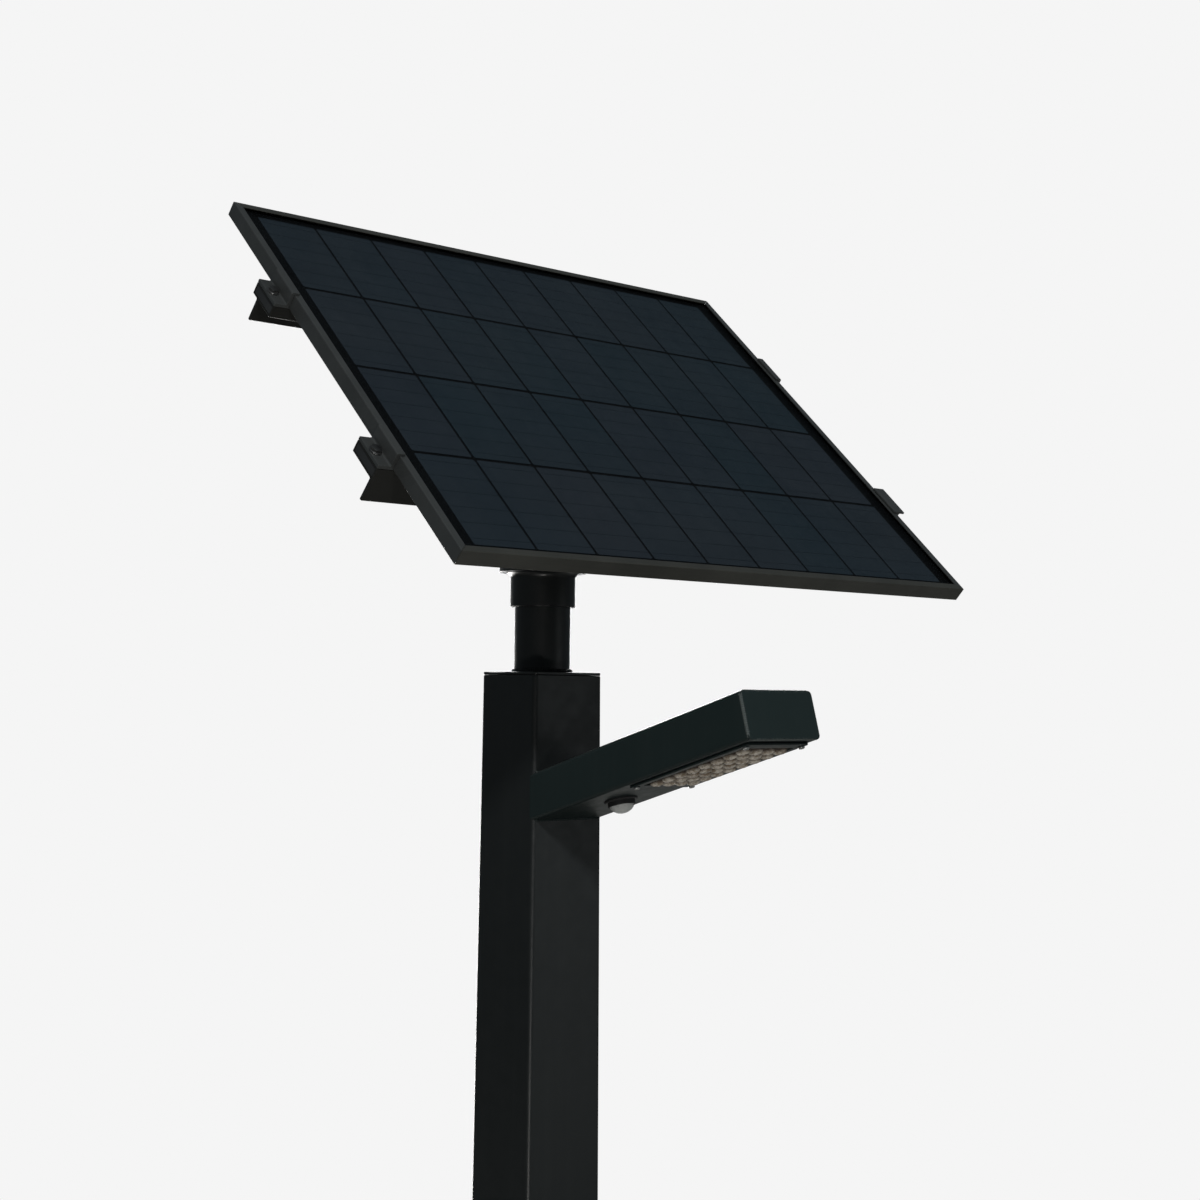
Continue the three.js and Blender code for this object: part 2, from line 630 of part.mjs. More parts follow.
function armEndCap() {
  const shape = roundedRect(ARM.width, ARM.height, ARM_CORNER.outer);
  return facePlate(shape, -ARM.length, -ARM.length + END_CAP).translate(0, 0, ARM.height / 2);
}

place(arm, 'arm_tube', armTube(), POWDER_COAT);
place(arm, 'arm_end_cap', armEndCap(), POWDER_COAT);

// ---------------------------------------------------------------- LED module, centred on its window

const module = new THREE.Group();
module.position.y = MODULE.centre;
arm.add(module);

const screwSpots = [[-1, -1], [1, -1], [-1, 1], [1, 1]].map(([x, y]) => (
  [x * BEZEL_SCREW.x, y * BEZEL_SCREW.y]
));

function bezel() {
  const shape = roundedRect(MODULE.width, MODULE.length, MODULE.corner);
  shape.holes.push(roundedRect(LENS_WINDOW.width, LENS_WINDOW.length, LENS_WINDOW.corner, THREE.Path));
  for (const [x, y] of screwSpots) shape.holes.push(roundHole(x, y, BEZEL_SCREW.hole));
  return prism(shape, -GAP - MODULE.thick, -GAP);
}

// The lens sheet: a flange behind the bezel, a raised field, and one squashed dome over each LED.
function lensArray() {
  const { corner, sideGap, raise } = LENS_PLATE;
  const flange = prism(roundedRect(LENS_PLATE.width, LENS_PLATE.length, corner), 0, LENS_PLATE.top);
  const raised = roundedRect(
    LENS_WINDOW.width - 2 * sideGap,
    LENS_WINDOW.length - 2 * sideGap,
    LENS_WINDOW.corner - sideGap,
  );
  const domes = [];
  for (let row = 0; row < LENS.rows; row += 1) {
    for (let column = 0; column < LENS.columns; column += 1) {
      const x = (row - (LENS.rows - 1) / 2) * LENS.pitchX;
      const y = (column - (LENS.columns - 1) / 2) * LENS.pitchY;
      const dome = new THREE.SphereGeometry(LENS.radius, 10, 6)
        .rotateX(Math.PI / 2)
        .scale(1, 1, LENS.squash)
        .translate(x, y, LENS.sunk - raise);
      domes.push(dome);
    }
  }
  return join(flange, prism(raised, -raise, LENS_PLATE.top / 2), ...domes);
}

function ledBoard() {
  const top = SINK.bottom - GAP;
  return prism(roundedRect(BOARD.width, BOARD.length, BOARD.corner), top - BOARD.thick, top);
}

function heatSink() {
  const base = boxBetween(
    [-SINK.width / 2, -SINK.length / 2, SINK.bottom],
    [SINK.width / 2, SINK.length / 2, SINK.bottom + SINK.base],
  );
  const fins = [];
  const finEnd = SINK.length / 2 - SINK.finEnd;
  for (let i = 0; i < SINK.fins; i += 1) {
    const x = (i - (SINK.fins - 1) / 2) * (SINK.width - SINK.fin) / (SINK.fins - 1);
    fins.push(boxBetween(
      [x - SINK.fin / 2, -finEnd, SINK.bottom + SINK.base / 2],
      [x + SINK.fin / 2, finEnd, SINK.bottom + SINK.base + SINK.height],
    ));
  }
  const holes = screwSpots.map(([x, y]) => rodZ(BEZEL_SCREW.hole, 0, BEZEL_SCREW_HOLE_END, FINE_TURN)
    .translate(x, y, 0));
  return cut(join(base, ...fins), ...holes);
}

function bezelScrew([x, y]) {
  const seat = -GAP - MODULE.thick - GAP;
  return join(
    rodZ(BEZEL_SCREW.radius, seat - BEZEL_SCREW.headHeight / 2, BEZEL_SCREW.tip, FINE_TURN),
    rodZ(BEZEL_SCREW.head, seat - BEZEL_SCREW.headHeight, seat, SMALL_TURN),
  ).translate(x, y, 0);
}

place(module, 'lens_bezel', bezel(), POWDER_COAT);
place(module, 'lens_array', lensArray(), LENS_CLEAR);
place(module, 'led_board', ledBoard(), BOARD_WHITE);
place(module, 'heat_sink', heatSink(), BARE_ALUMINIUM);
screwSpots.forEach((spot, i) => {
  place(module, `bezel_screw_${i + 1}`, bezelScrew(spot), STAINLESS);
});

function ledDriver() {
  const shape = roundedRect(DRIVER.width, DRIVER.length, DRIVER.corner);
  const bottom = ARM.wall + GAP;
  return prism(shape, bottom, bottom + DRIVER.height).translate(0, DRIVER.y, 0);
}

place(arm, 'led_driver', ledDriver(), BLACK_PLASTIC);

// ---------------------------------------------------------------- motion sensor, hanging down

const sensor = new THREE.Group();
sensor.position.y = SENSOR.y;
sensor.rotation.x = Math.PI;
arm.add(sensor);

function sensorBase() {
  return turned([
    [0, -SENSOR.neckLength],
    [SENSOR.neck, -SENSOR.neckLength],
    [SENSOR.neck, GAP],
    [SENSOR.flange, GAP],
    [SENSOR.flange - SENSOR.chamfer, SENSOR.flangeHeight],
    [0, SENSOR.flangeHeight],
  ], DOME_TURN);
}

function sensorDome() {
  const bottom = SENSOR.flangeHeight + GAP;
  const arc = (radius, height) => Array.from({ length: DOME.steps + 1 }, (_, i) => {
    const angle = i / DOME.steps * Math.PI / 2;
    return [i === DOME.steps ? 0 : Math.cos(angle) * radius, bottom + Math.sin(angle) * height];
  });
  const outer = arc(DOME.radius, DOME.height);
  const inner = arc(DOME.radius - DOME.wall, DOME.height - DOME.wall).reverse();
  return turned([...inner, ...outer], DOME_TURN);
}

place(sensor, 'sensor_base', sensorBase(), BLACK_PLASTIC);
place(sensor, 'sensor_dome', sensorDome(), DOME_FROST);

// ---------------------------------------------------------------- service door on the pole's back face

const doorGroup = subgroup(0, poleWidth(DOOR.z) / 2, DOOR.z, Math.atan(POLE.taper / 2));
const doorBack = GAP + DOOR_GASKET.thick + GAP;
const doorWidth = DOOR.right - DOOR.left;

function serviceDoor() {
  const shape = roundedRect(doorWidth, DOOR.height, DOOR.corner);
  const centre = (DOOR.left + DOOR.right) / 2;
  for (const side of [-1, 1]) {
    const clearance = DOOR_SCREW.radius + SCREW_CLEARANCE;
    shape.holes.push(roundHole(DOOR_SCREW.x - centre, side * DOOR_SCREW.z, clearance));
  }
  return facePlate(shape, doorBack, doorBack + DOOR.thick).translate(centre, 0, 0);
}

function doorGasket() {
  const height = HAND_HOLE.height + DOOR_GASKET.outer - HAND_HOLE.width;
  const shape = ringShape(DOOR_GASKET.outer, height, DOOR_GASKET.corner, DOOR_GASKET.bar);
  return facePlate(shape, GAP, GAP + DOOR_GASKET.thick);
}

function doorScrew(side) {
  const seat = doorBack + DOOR.thick + GAP;
  const end = seat + DOOR_SCREW.headHeight;
  const screw = join(
    rodY(DOOR_SCREW.radius, -DOOR_SCREW.reach, seat + OVERRUN),
    rodY(DOOR_SCREW.head, seat, end, SMALL_TURN),
  );
  const socket = rodY(DOOR_SCREW_SOCKET.radius, end - DOOR_SCREW_SOCKET.depth, end + OVERRUN, HEX);
  return cut(screw, socket).translate(DOOR_SCREW.x, 0, side * DOOR_SCREW.z);
}

// The fixed half of a weld-on barrel hinge, with its pin pointing up.
function hingePost() {
  return join(
    rodZ(HINGE.radius, -HINGE.length, 0),
    rodZ(HINGE.pin, -OVERRUN, HINGE.length - HINGE.pinEnd),
  );
}

// The half that goes with the door: a sleeve over the pin, closed at its top.
function hingeSleeve() {
  const bore = rodZ(HINGE.bore, GAP - OVERRUN, HINGE.length - HINGE.roof);
  return cut(rodZ(HINGE.radius, GAP, HINGE.length), bore);
}

place(doorGroup, 'service_door', serviceDoor(), POWDER_COAT);
place(doorGroup, 'door_gasket', doorGasket(), RUBBER);
for (const [level, side] of [['upper', 1], ['lower', -1]]) {
  place(doorGroup, `door_screw_${level}`, doorScrew(side), STAINLESS);
  const post = place(doorGroup, `hinge_post_${level}`, hingePost(), POWDER_COAT);
  const sleeve = place(doorGroup, `hinge_sleeve_${level}`, hingeSleeve(), POWDER_COAT);
  for (const piece of [post, sleeve]) {
    piece.position.set(HINGE.x, HINGE.radius + GAP, side * HINGE.z);
  }
}

// ---------------------------------------------------------------- battery compartment

function equipmentTray() {
  const half = TRAY.width / 2;
  const back = TRAY.back - TRAY.lip;
  const front = TRAY.back - TRAY.thick;
  const shape = polygon([
    [-half, back],
    [-half + TRAY.thick, back],
    [-half + TRAY.thick, front],
    [half - TRAY.thick, front],
    [half - TRAY.thick, back],
    [half, back],
    [half, TRAY.back],
    [-half, TRAY.back],
  ]);
  return prism(shape, TRAY.bottom, TRAY.top);
}

const shelfFace = TRAY.back + GAP;

function batteryPack() {
  const shape = roundedRect(BATTERY.width, BATTERY.depth, BATTERY.corner);
  return prism(shape, BATTERY.bottom, BATTERY.bottom + BATTERY.height)
    .translate(0, shelfFace + BATTERY.depth / 2, 0);
}

// A strap over the battery's back and both sides, drawn in x and y.
function batteryStrap() {
  const inside = BATTERY.width / 2 + GAP;
  const outside = inside + STRAP.thick;
  const back = shelfFace + BATTERY.depth + GAP;
  const shape = polygon([
    [-outside, shelfFace],
    [-inside, shelfFace],
    [-inside, back],
    [inside, back],
    [inside, shelfFace],
    [outside, shelfFace],
    [outside, back + STRAP.thick],
    [-outside, back + STRAP.thick],
  ]);
  return prism(shape, STRAP.z - STRAP.width / 2, STRAP.z + STRAP.width / 2);
}

function chargeController() {
  const shape = roundedRect(CONTROLLER.width, CONTROLLER.height, CONTROLLER.corner);
  return facePlate(shape, shelfFace, shelfFace + CONTROLLER.depth)
    .translate(0, 0, CONTROLLER.bottom + CONTROLLER.height / 2);
}

place(lamp, 'equipment_tray', equipmentTray(), ZINC);
place(lamp, 'battery_pack', batteryPack(), BATTERY_BLUE);
place(lamp, 'battery_strap', batteryStrap(), STRAP_WEB);
place(lamp, 'charge_controller', chargeController(), BLACK_PLASTIC);

export default lamp;
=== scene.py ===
import json
import math
import random
from functools import partial

import bmesh
import bpy
from mathutils import Matrix, Vector

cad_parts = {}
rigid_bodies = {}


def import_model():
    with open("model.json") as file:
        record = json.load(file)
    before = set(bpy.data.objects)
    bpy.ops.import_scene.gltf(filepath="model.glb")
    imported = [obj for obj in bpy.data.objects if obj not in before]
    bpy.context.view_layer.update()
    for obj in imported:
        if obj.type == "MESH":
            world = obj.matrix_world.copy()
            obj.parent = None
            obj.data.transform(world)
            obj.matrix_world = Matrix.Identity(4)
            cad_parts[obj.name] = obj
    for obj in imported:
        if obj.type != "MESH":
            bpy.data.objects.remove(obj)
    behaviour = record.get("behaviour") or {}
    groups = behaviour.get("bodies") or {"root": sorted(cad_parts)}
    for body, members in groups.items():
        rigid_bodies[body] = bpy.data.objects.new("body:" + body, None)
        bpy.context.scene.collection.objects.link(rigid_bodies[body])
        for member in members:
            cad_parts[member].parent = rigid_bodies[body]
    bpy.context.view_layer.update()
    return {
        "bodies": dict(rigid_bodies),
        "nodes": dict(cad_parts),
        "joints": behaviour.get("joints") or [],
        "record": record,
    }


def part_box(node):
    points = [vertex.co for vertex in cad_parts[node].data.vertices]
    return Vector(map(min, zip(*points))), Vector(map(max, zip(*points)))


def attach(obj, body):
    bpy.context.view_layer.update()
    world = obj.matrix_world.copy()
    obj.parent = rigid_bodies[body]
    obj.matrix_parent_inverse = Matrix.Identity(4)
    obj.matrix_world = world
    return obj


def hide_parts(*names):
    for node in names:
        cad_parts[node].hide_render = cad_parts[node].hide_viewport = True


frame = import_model()
NODES = frame["nodes"]
RNG = random.Random(11)
SCENE = bpy.context.scene
MM = 0.001      # every shape is drawn in millimetres, and piece() turns it into metres
GAP = 0.3       # left between pieces that touch

# ---------------------------------------------------------------- camera, floor and light

CAMERA = {"at": (-1.5434, -1.9319, 3.9632), "azimuth": -40.436, "pitch": 3.171, "roll": 0.671}
CAMERA_LENS, CAMERA_SENSOR = 54.14, 36
BACKDROP = (0.913, 0.913, 0.913, 1)
SURROUND = (0.84, 0.98, 1.06, 1)
FLOOR_RADIUS = 60
FLOOR_SHADE = (0.34, 0.34, 0.34, 1)
FLOOR_BOUNCE = (0.20, 0.20, 0.19, 1)


def aim_camera():
    azimuth, pitch, roll = (math.radians(CAMERA[k]) for k in ("azimuth", "pitch", "roll"))
    ahead = Vector((
        -math.sin(azimuth) * math.cos(pitch),
        math.cos(azimuth) * math.cos(pitch),
        math.sin(pitch),
    ))
    level = Vector((math.cos(azimuth), math.sin(azimuth), 0))
    above = level.cross(ahead)
    right = math.cos(roll) * level + math.sin(roll) * above
    up = math.cos(roll) * above - math.sin(roll) * level
    data = bpy.data.cameras.new("camera")
    data.lens = CAMERA_LENS
    data.sensor_width = CAMERA_SENSOR
    data.clip_start = 0.05
    data.clip_end = 200
    camera = bpy.data.objects.new("camera", data)
    SCENE.collection.objects.link(camera)
    turn = Matrix((right, up, -ahead)).transposed().to_4x4()
    camera.matrix_world = Matrix.Translation(CAMERA["at"]) @ turn
    SCENE.camera = camera


def link(tree, kind, inputs=None, **settings):
    """A new node, with its settings, and its inputs joined or set."""
    made = tree.nodes.new(kind)
    for key, value in settings.items():
        setattr(made, key, value)
    for key, value in (inputs or {}).items():
        if isinstance(value, bpy.types.NodeSocket):
            tree.links.new(value, made.inputs[key])
        else:
            made.inputs[key].default_value = value
    return made


def seen_or_lighting(tree, output, lighting, seen):
    """Joins one shader for what the camera sees and another for the light that reaches the object."""
    path = link(tree, "ShaderNodeLightPath")
    both = link(tree, "ShaderNodeMixShader", {
        0: path.outputs["Is Camera Ray"], 1: lighting.outputs[0], 2: seen.outputs[0],
    })
    link(tree, output, {"Surface": both.outputs[0]})


def set_world():
    world = bpy.data.worlds.new("studio")
    SCENE.world = world
    world.use_nodes = True
    tree = world.node_tree
    tree.nodes.clear()
    seen = link(tree, "ShaderNodeBackground", {"Color": BACKDROP, "Strength": 1})
    around = link(tree, "ShaderNodeBackground", {"Color": SURROUND, "Strength": 0.125})
    seen_or_lighting(tree, "ShaderNodeOutputWorld", around, seen)
    SCENE.view_settings.view_transform = "Standard"


def add_light(name, at, towards, size, power, colour):
    data = bpy.data.lights.new(name, "AREA")
    data.shape = "DISK"
    data.size = size
    data.energy = power
    data.color = colour
    lamp = bpy.data.objects.new(name, data)
    lamp.location = at
    lamp.rotation_euler = (Vector(towards) - Vector(at)).to_track_quat("-Z", "Y").to_euler()
    SCENE.collection.objects.link(lamp)


def add_floor():
    """A pale floor that the backdrop runs into. Near the foot it darkens, as under soft light."""
    bm = bmesh.new()
    bmesh.ops.create_circle(bm, cap_ends=True, radius=FLOOR_RADIUS, segments=96)
    mesh = bpy.data.meshes.new("floor")
    bm.to_mesh(mesh)
    bm.free()
    floor = bpy.data.objects.new("floor", mesh)
    SCENE.collection.objects.link(floor)
    material = bpy.data.materials.new("floor")
    material.use_nodes = True
    tree = material.node_tree
    tree.nodes.clear()
    shade = link(tree, "ShaderNodeAmbientOcclusion", {"Distance": 0.5}, samples=8)
    colour = link(
        tree, "ShaderNodeMix", {0: shade.outputs["AO"], 6: FLOOR_SHADE, 7: BACKDROP}, data_type="RGBA",
    )
    seen = link(tree, "ShaderNodeEmission", {"Color": colour.outputs[2], "Strength": 1})
    matt = link(tree, "ShaderNodeBsdfDiffuse", {"Color": FLOOR_BOUNCE})
    seen_or_lighting(tree, "ShaderNodeOutputMaterial", matt, seen)
    mesh.materials.append(material)


aim_camera()
set_world()
add_floor()
add_light("key", (-3.3, -6.0, 8.0), (0, 0, 3.9), 0.7, 470, (0.98, 1.0, 1.0))
add_light("right", (4.2, -6.0, 3.4), (0, 0, 3.5), 3.5, 16, (0.96, 1.0, 1.0))
add_light("rear", (5.0, 5.8, 5.5), (0, 0, 3.0), 4.0, 900, (0.98, 0.99, 1.0))
add_light("behind", (2.3, 7.0, 2.2), (0, 0, 2.8), 3.0, 500, (1.0, 0.98, 0.96))
add_light("low", (-2.05, -2.3, 2.3), (0, 0, 3.1), 0.35, 26, (1.0, 0.97, 0.93))

# ---------------------------------------------------------------- materials


class Shading:
    """One material under construction: short names for the nodes that it uses."""

    def __init__(self, name):
        self.material = bpy.data.materials.new(name)
        self.material.use_nodes = True
        self.tree = self.material.node_tree
        self.tree.nodes.clear()
        self.place = self.add("ShaderNodeTexCoord")
        self.spot = self.place.outputs["Object"]

    def add(self, kind, inputs=None, **settings):
        return link(self.tree, kind, inputs, **settings)

    def stretched(self, scale, turn=0.0):
        return self.add("ShaderNodeMapping", {
            "Vector": self.spot, "Rotation": (turn, 0, 0), "Scale": scale,
        }).outputs[0]

    def noise(self, scale, detail=2, rough=0.5, at=None):
        return self.add("ShaderNodeTexNoise", {
            "Vector": at or self.spot, "Scale": scale, "Detail": detail, "Roughness": rough,
        }).outputs["Fac"]

    def spread(self, value, low, high, out_low=0.0, out_high=1.0):
        return self.add("ShaderNodeMapRange", {0: value, 1: low, 2: high, 3: out_low, 4: out_high}).outputs[0]

    def blend(self, share, first, second):
        """A mix of two colours, each a socket or three numbers."""
        first, second = (c if isinstance(c, bpy.types.NodeSocket) else (*c, 1) for c in (first, second))
        return self.add("ShaderNodeMix", {0: share, 6: first, 7: second}, data_type="RGBA").outputs[2]

    def maths(self, operation, first, second=0.0):
        return self.add("ShaderNodeMath", {0: first, 1: second}, operation=operation).outputs[0]

    def times(self, first, second):
        return self.maths("MULTIPLY", first, second)

    def attribute(self, name):
        return self.add("ShaderNodeAttribute", attribute_name=name).outputs["Fac"]

    def upward(self):
        """How far the surface faces up, from the piece's own normal."""
        parts = self.add("ShaderNodeSeparateXYZ", {0: self.place.outputs["Normal"]})
        return self.spread(parts.outputs[2], 0.35, 1.0)

    def bump(self, height, strength, distance, **over):
        inputs = {"Height": height, "Strength": strength, "Distance": distance}
        return self.add("ShaderNodeBump", {**inputs, **over}).outputs[0]

    def principled(self, inputs):
        return self.add("ShaderNodeBsdfPrincipled", inputs).outputs[0]

    def see_through(self, share, tint, surface):
        """A surface over a tinted clear body."""
        clear = self.add("ShaderNodeBsdfTransparent", {"Color": tint}).outputs[0]
        return self.finish(self.add("ShaderNodeMixShader", {0: share, 1: clear, 2: surface}).outputs[0])

    def finish(self, surface):
        """Ends the material, with a shader or with the inputs of a principled one."""
        if isinstance(surface, dict):
            surface = self.principled(surface)
        self.add("ShaderNodeOutputMaterial", {"Surface": surface})
        return self.material


def powder_coat(name, low, high, shine=0.34):
    """Textured polyester powder: fine peel, faint mottling, a little dust where it faces up."""
    s = Shading(name)
    mottle = s.spread(s.noise(4, 3, 0.5), 0.25, 0.75)
    runs = s.spread(s.noise(1, 4, 0.6, at=s.stretched((60, 60, 1.6))), 0.5, 0.85)
    streaked = s.blend(s.times(runs, 0.06), s.blend(mottle, low, high), (0.050, 0.052, 0.050))
    settled = s.times(s.times(s.upward(), s.spread(s.noise(34, 6, 0.65), 0.35, 0.7)), 0.16)
    peel = s.bump(s.noise(520, 3, 0.55), 0.14, 0.0002)
    return s.finish({
        "Base Color": s.blend(settled, streaked, (0.20, 0.19, 0.165)),
        "Roughness": s.spread(s.noise(60, 4, 0.6), 0.3, 0.7, 0.34, 0.45),
        "Specular IOR Level": shine,
        "Normal": s.bump(s.noise(14, 2, 0.4), 0.02, 0.0010, Normal=peel),
    })


def anodised(name, turn, along, depth=(1.0, 1.0, 1.0)):
    """Dark anodised extrusion, with die lines along its length and a few handling marks. A last factor scales
    its tones, darker and warmer for some members; the warm cast is a painted bounce of light from the ground.
    """
    s = Shading(name)
    scale = (2.5, 900, 900) if along == "x" else (900, 2.5, 900)
    lines = s.noise(1, 3, 0.6, at=s.stretched(scale, turn))
    clouds = s.spread(s.noise(16, 5, 0.6), 0.35, 0.65)
    dark, light, scratch = ([d * c for d, c in zip(depth, rgb)] for rgb in (
        (0.036, 0.0385, 0.038), (0.048, 0.0505, 0.050), (0.085, 0.085, 0.082),
    ))
    return s.finish({
        "Base Color": s.blend(s.spread(lines, 0.58, 0.82, 0, 0.3), s.blend(clouds, dark, light), scratch),
        "Metallic": 0.35,
        "Roughness": s.spread(lines, 0.3, 0.7, 0.36, 0.52),
        "Normal": s.bump(lines, 0.12, 0.00008),
    })


def grained(name, low, high, rough, grain, patch, relief, own):
    """Patches of tone, with a fine grain in the gloss and the height."""
    s = Shading(name)
    fine = s.noise(grain, 3, 0.6)
    return s.finish({
        "Base Color": s.blend(s.spread(s.noise(patch, 4, 0.6), 0.35, 0.65), low, high),
        "Roughness": s.spread(fine, 0.3, 0.7, *rough),
        "Normal": s.bump(fine, relief, 0.00012),
        **own,
    })


def metal(name, low, high, rough, grain=180, patch=26):
    """Plated or bare metal."""
    return grained(name, low, high, (rough - 0.07, rough + 0.09), grain, patch, 0.10, {"Metallic": 1.0})


def moulded(name, low, high, rough=0.46, grain=420, shine=0.5):
    """Moulded plastic with a fine spark-eroded grain."""
    own = {"Specular IOR Level": shine}
    return grained(name, low, high, (rough - 0.07, rough + 0.1), grain, 18, 0.22, own)


def rubber():
    s = Shading("rubber")
    bloom = s.spread(s.noise(45, 5, 0.65), 0.42, 0.72, 0, 0.5)
    return s.finish({
        "Base Color": s.blend(bloom, (0.010, 0.010, 0.010), (0.034, 0.034, 0.033)),
        "Roughness": s.spread(s.noise(90, 3), 0.3, 0.7, 0.72, 0.9),
        "Normal": s.bump(s.noise(700), 0.3, 0.0001),
    })


def solar_cell():
    """A monocrystalline cell: blue-black, with fine silver fingers, each cell a little different."""
    s = Shading("solar_cell")
    body = s.blend(s.attribute("cell_tone"), (0.0092, 0.0165, 0.0225), (0.0138, 0.0172, 0.0232))
    cloud = s.spread(s.noise(2.6), 0.35, 0.65)
    varied = s.blend(s.times(cloud, 0.55), body, (0.0175, 0.0195, 0.0238))
    wave = s.maths("COSINE", s.times(s.attribute("cell_across"), 2 * math.pi / FINGER_PITCH))
    finger = s.spread(wave, 0.86, 0.97)
    return s.finish({
        "Base Color": s.blend(s.times(finger, 0.14), varied, (0.16, 0.17, 0.18)),
        "Roughness": s.spread(s.noise(30, 3), 0.3, 0.7, 0.42, 0.52),
        "Specular IOR Level": 0.05,
        "Coat Weight": 0.3,
        "Coat Roughness": 0.16,
        "Coat IOR": 1.25,
        "Normal": s.bump(finger, 0.1, 0.00003),
    })


def panel_glass():
    """Rolled, coated solar glass: clear from in front, with a faint texture in its gloss."""
    s = Shading("panel_glass")
    film = s.spread(s.noise(11, 6, 0.65), 0.4, 0.8)
    mirror = s.add("ShaderNodeBsdfAnisotropic", {
        "Color": s.blend(film, (0.92, 0.96, 1.0), (0.72, 0.75, 0.78)),
        "Roughness": s.spread(film, 0, 1, 0.12, 0.2),
        "Normal": s.bump(s.noise(640), 0.10, 0.00006),
    }).outputs[0]
    tint = s.blend(film, (0.95, 0.97, 0.975), (0.90, 0.925, 0.935))
    return s.see_through(s.spread(film, 0, 1, 0.002, 0.005), tint, mirror)


def lens_plastic():
    """Clear lens sheet over the LEDs: milky on its domes, and dark brown where it is thin between them, which
    is painted shade between the domes.
    """
    s = Shading("lens_plastic")
    dome = s.attribute("lens_rise")
    haze = s.spread(s.noise(120, 4, 0.75), 0.40, 0.60)
    milky = s.blend(haze, (0.36, 0.28, 0.20), (0.92, 0.84, 0.73))
    gloss = s.principled({
        # The flat between the domes is painted dark brown: painted shade of the recess between them.
        "Base Color": s.blend(s.spread(dome, 0.15, 0.75), (0.040, 0.026, 0.018), milky),
        "Roughness": s.spread(s.noise(240), 0.3, 0.7, 0.06, 0.18),
        "Normal": s.bump(s.noise(500), 0.08, 0.00008),
    })
    return s.see_through(s.spread(dome, 0, 1, 0.90, 0.66), (0.93, 0.90, 0.84, 1), gloss)


def sensor_plastic():
    """Milky Fresnel plastic that lets a little of the inside show."""
    s = Shading("sensor_lens")
    haze = s.spread(s.noise(60, 4, 0.6), 0.35, 0.65)
    body = s.principled({
        "Base Color": s.blend(haze, (0.60, 0.61, 0.60), (0.74, 0.75, 0.74)),
        "Roughness": s.spread(s.noise(300), 0.3, 0.7, 0.16, 0.3),
        "Normal": s.bump(s.noise(420), 0.1, 0.0001),
    })
    return s.see_through(s.spread(haze, 0, 1, 0.62, 0.74), (0.82, 0.84, 0.84, 1), body)


def webbing():
    """Woven polyester strap: ribs along it and picks across it."""
    s = Shading("webbing")
    picks = s.add("ShaderNodeTexWave", {
        "Vector": s.spot, "Scale": 160, "Distortion": 0.6, "Detail": 1,
    }, bands_direction="Z").outputs["Fac"]
    ribs = s.noise(1, 1, at=s.stretched((500, 500, 60)))
    weave = s.times(picks, ribs)
    return s.finish({
        "Base Color": s.blend(weave, (0.010, 0.010, 0.011), (0.040, 0.040, 0.043)),
        "Roughness": s.spread(ribs, 0.3, 0.7, 0.7, 0.88),
        "Normal": s.bump(weave, 0.5, 0.0004),
    })


def shrink_wrap():
    """The battery's shrink sleeve: satin blue film with soft creases."""
    s = Shading("shrink_wrap")
    creases = s.noise(1, 5, 0.6, at=s.stretched((30, 30, 9)))
    return s.finish({
        "Base Color": s.blend(s.spread(creases, 0.35, 0.65), (0.012, 0.045, 0.135), (0.020, 0.066, 0.18)),
        "Roughness": s.spread(creases, 0.3, 0.7, 0.26, 0.42),
        "Normal": s.bump(creases, 0.35, 0.0012),
    })


def phosphor():
    """Phosphor over an LED die, unlit."""
    s = Shading("led_phosphor")
    grain = s.spread(s.noise(900, 3), 0.35, 0.65)
    return s.finish({
        "Base Color": s.blend(grain, (0.74, 0.50, 0.10), (0.85, 0.62, 0.16)),
        "Roughness": s.spread(grain, 0, 1, 0.35, 0.5),
    })


def broad_normal(node, axis):
    """The normal of a node's largest face, turned to look up an axis: 1 for Y or 2 for Z."""
    face = max(NODES[node].data.polygons, key=lambda f: f.area)
    return face.normal if face.normal[axis] > 0 else -face.normal


glass_normal = broad_normal("front_glass", 2)
PANEL_TILT = math.atan2(-glass_normal.y, glass_normal.z)
FINGER_PITCH = 1.5      # millimetres between the silver fingers on a cell

# Each finish is a material and a slot name
COAT = (powder_coat("powder_coat", (0.0072, 0.0083, 0.0086), (0.0096, 0.0110, 0.0112)), "powder_coat")
COAT_ARM = (
    powder_coat("powder_coat_arm", (0.0086, 0.0145, 0.0144), (0.0116, 0.0184, 0.0183), shine=0.2),
    "powder_coat",
)
# A much lighter coat for the weld at the arm's end: rubbed wear, and a painted highlight along that edge.
COAT_WORN_AND_HIGHLIGHT = (powder_coat("powder_coat_worn", (0.040, 0.048, 0.046), (0.095, 0.108, 0.104)), "powder_coat")
# The across members get a darker, warmer copy of the frame's finish: painted shade and a painted warm bounce
# from the ground.
ANODISED_X_PAINTED_SHADE_AND_BOUNCE = (anodised("anodised_across", -PANEL_TILT, "x", (0.92, 0.87, 0.76)), "anodised")
ANODISED_V = (anodised("anodised_upslope", -PANEL_TILT, "v"), "anodised")
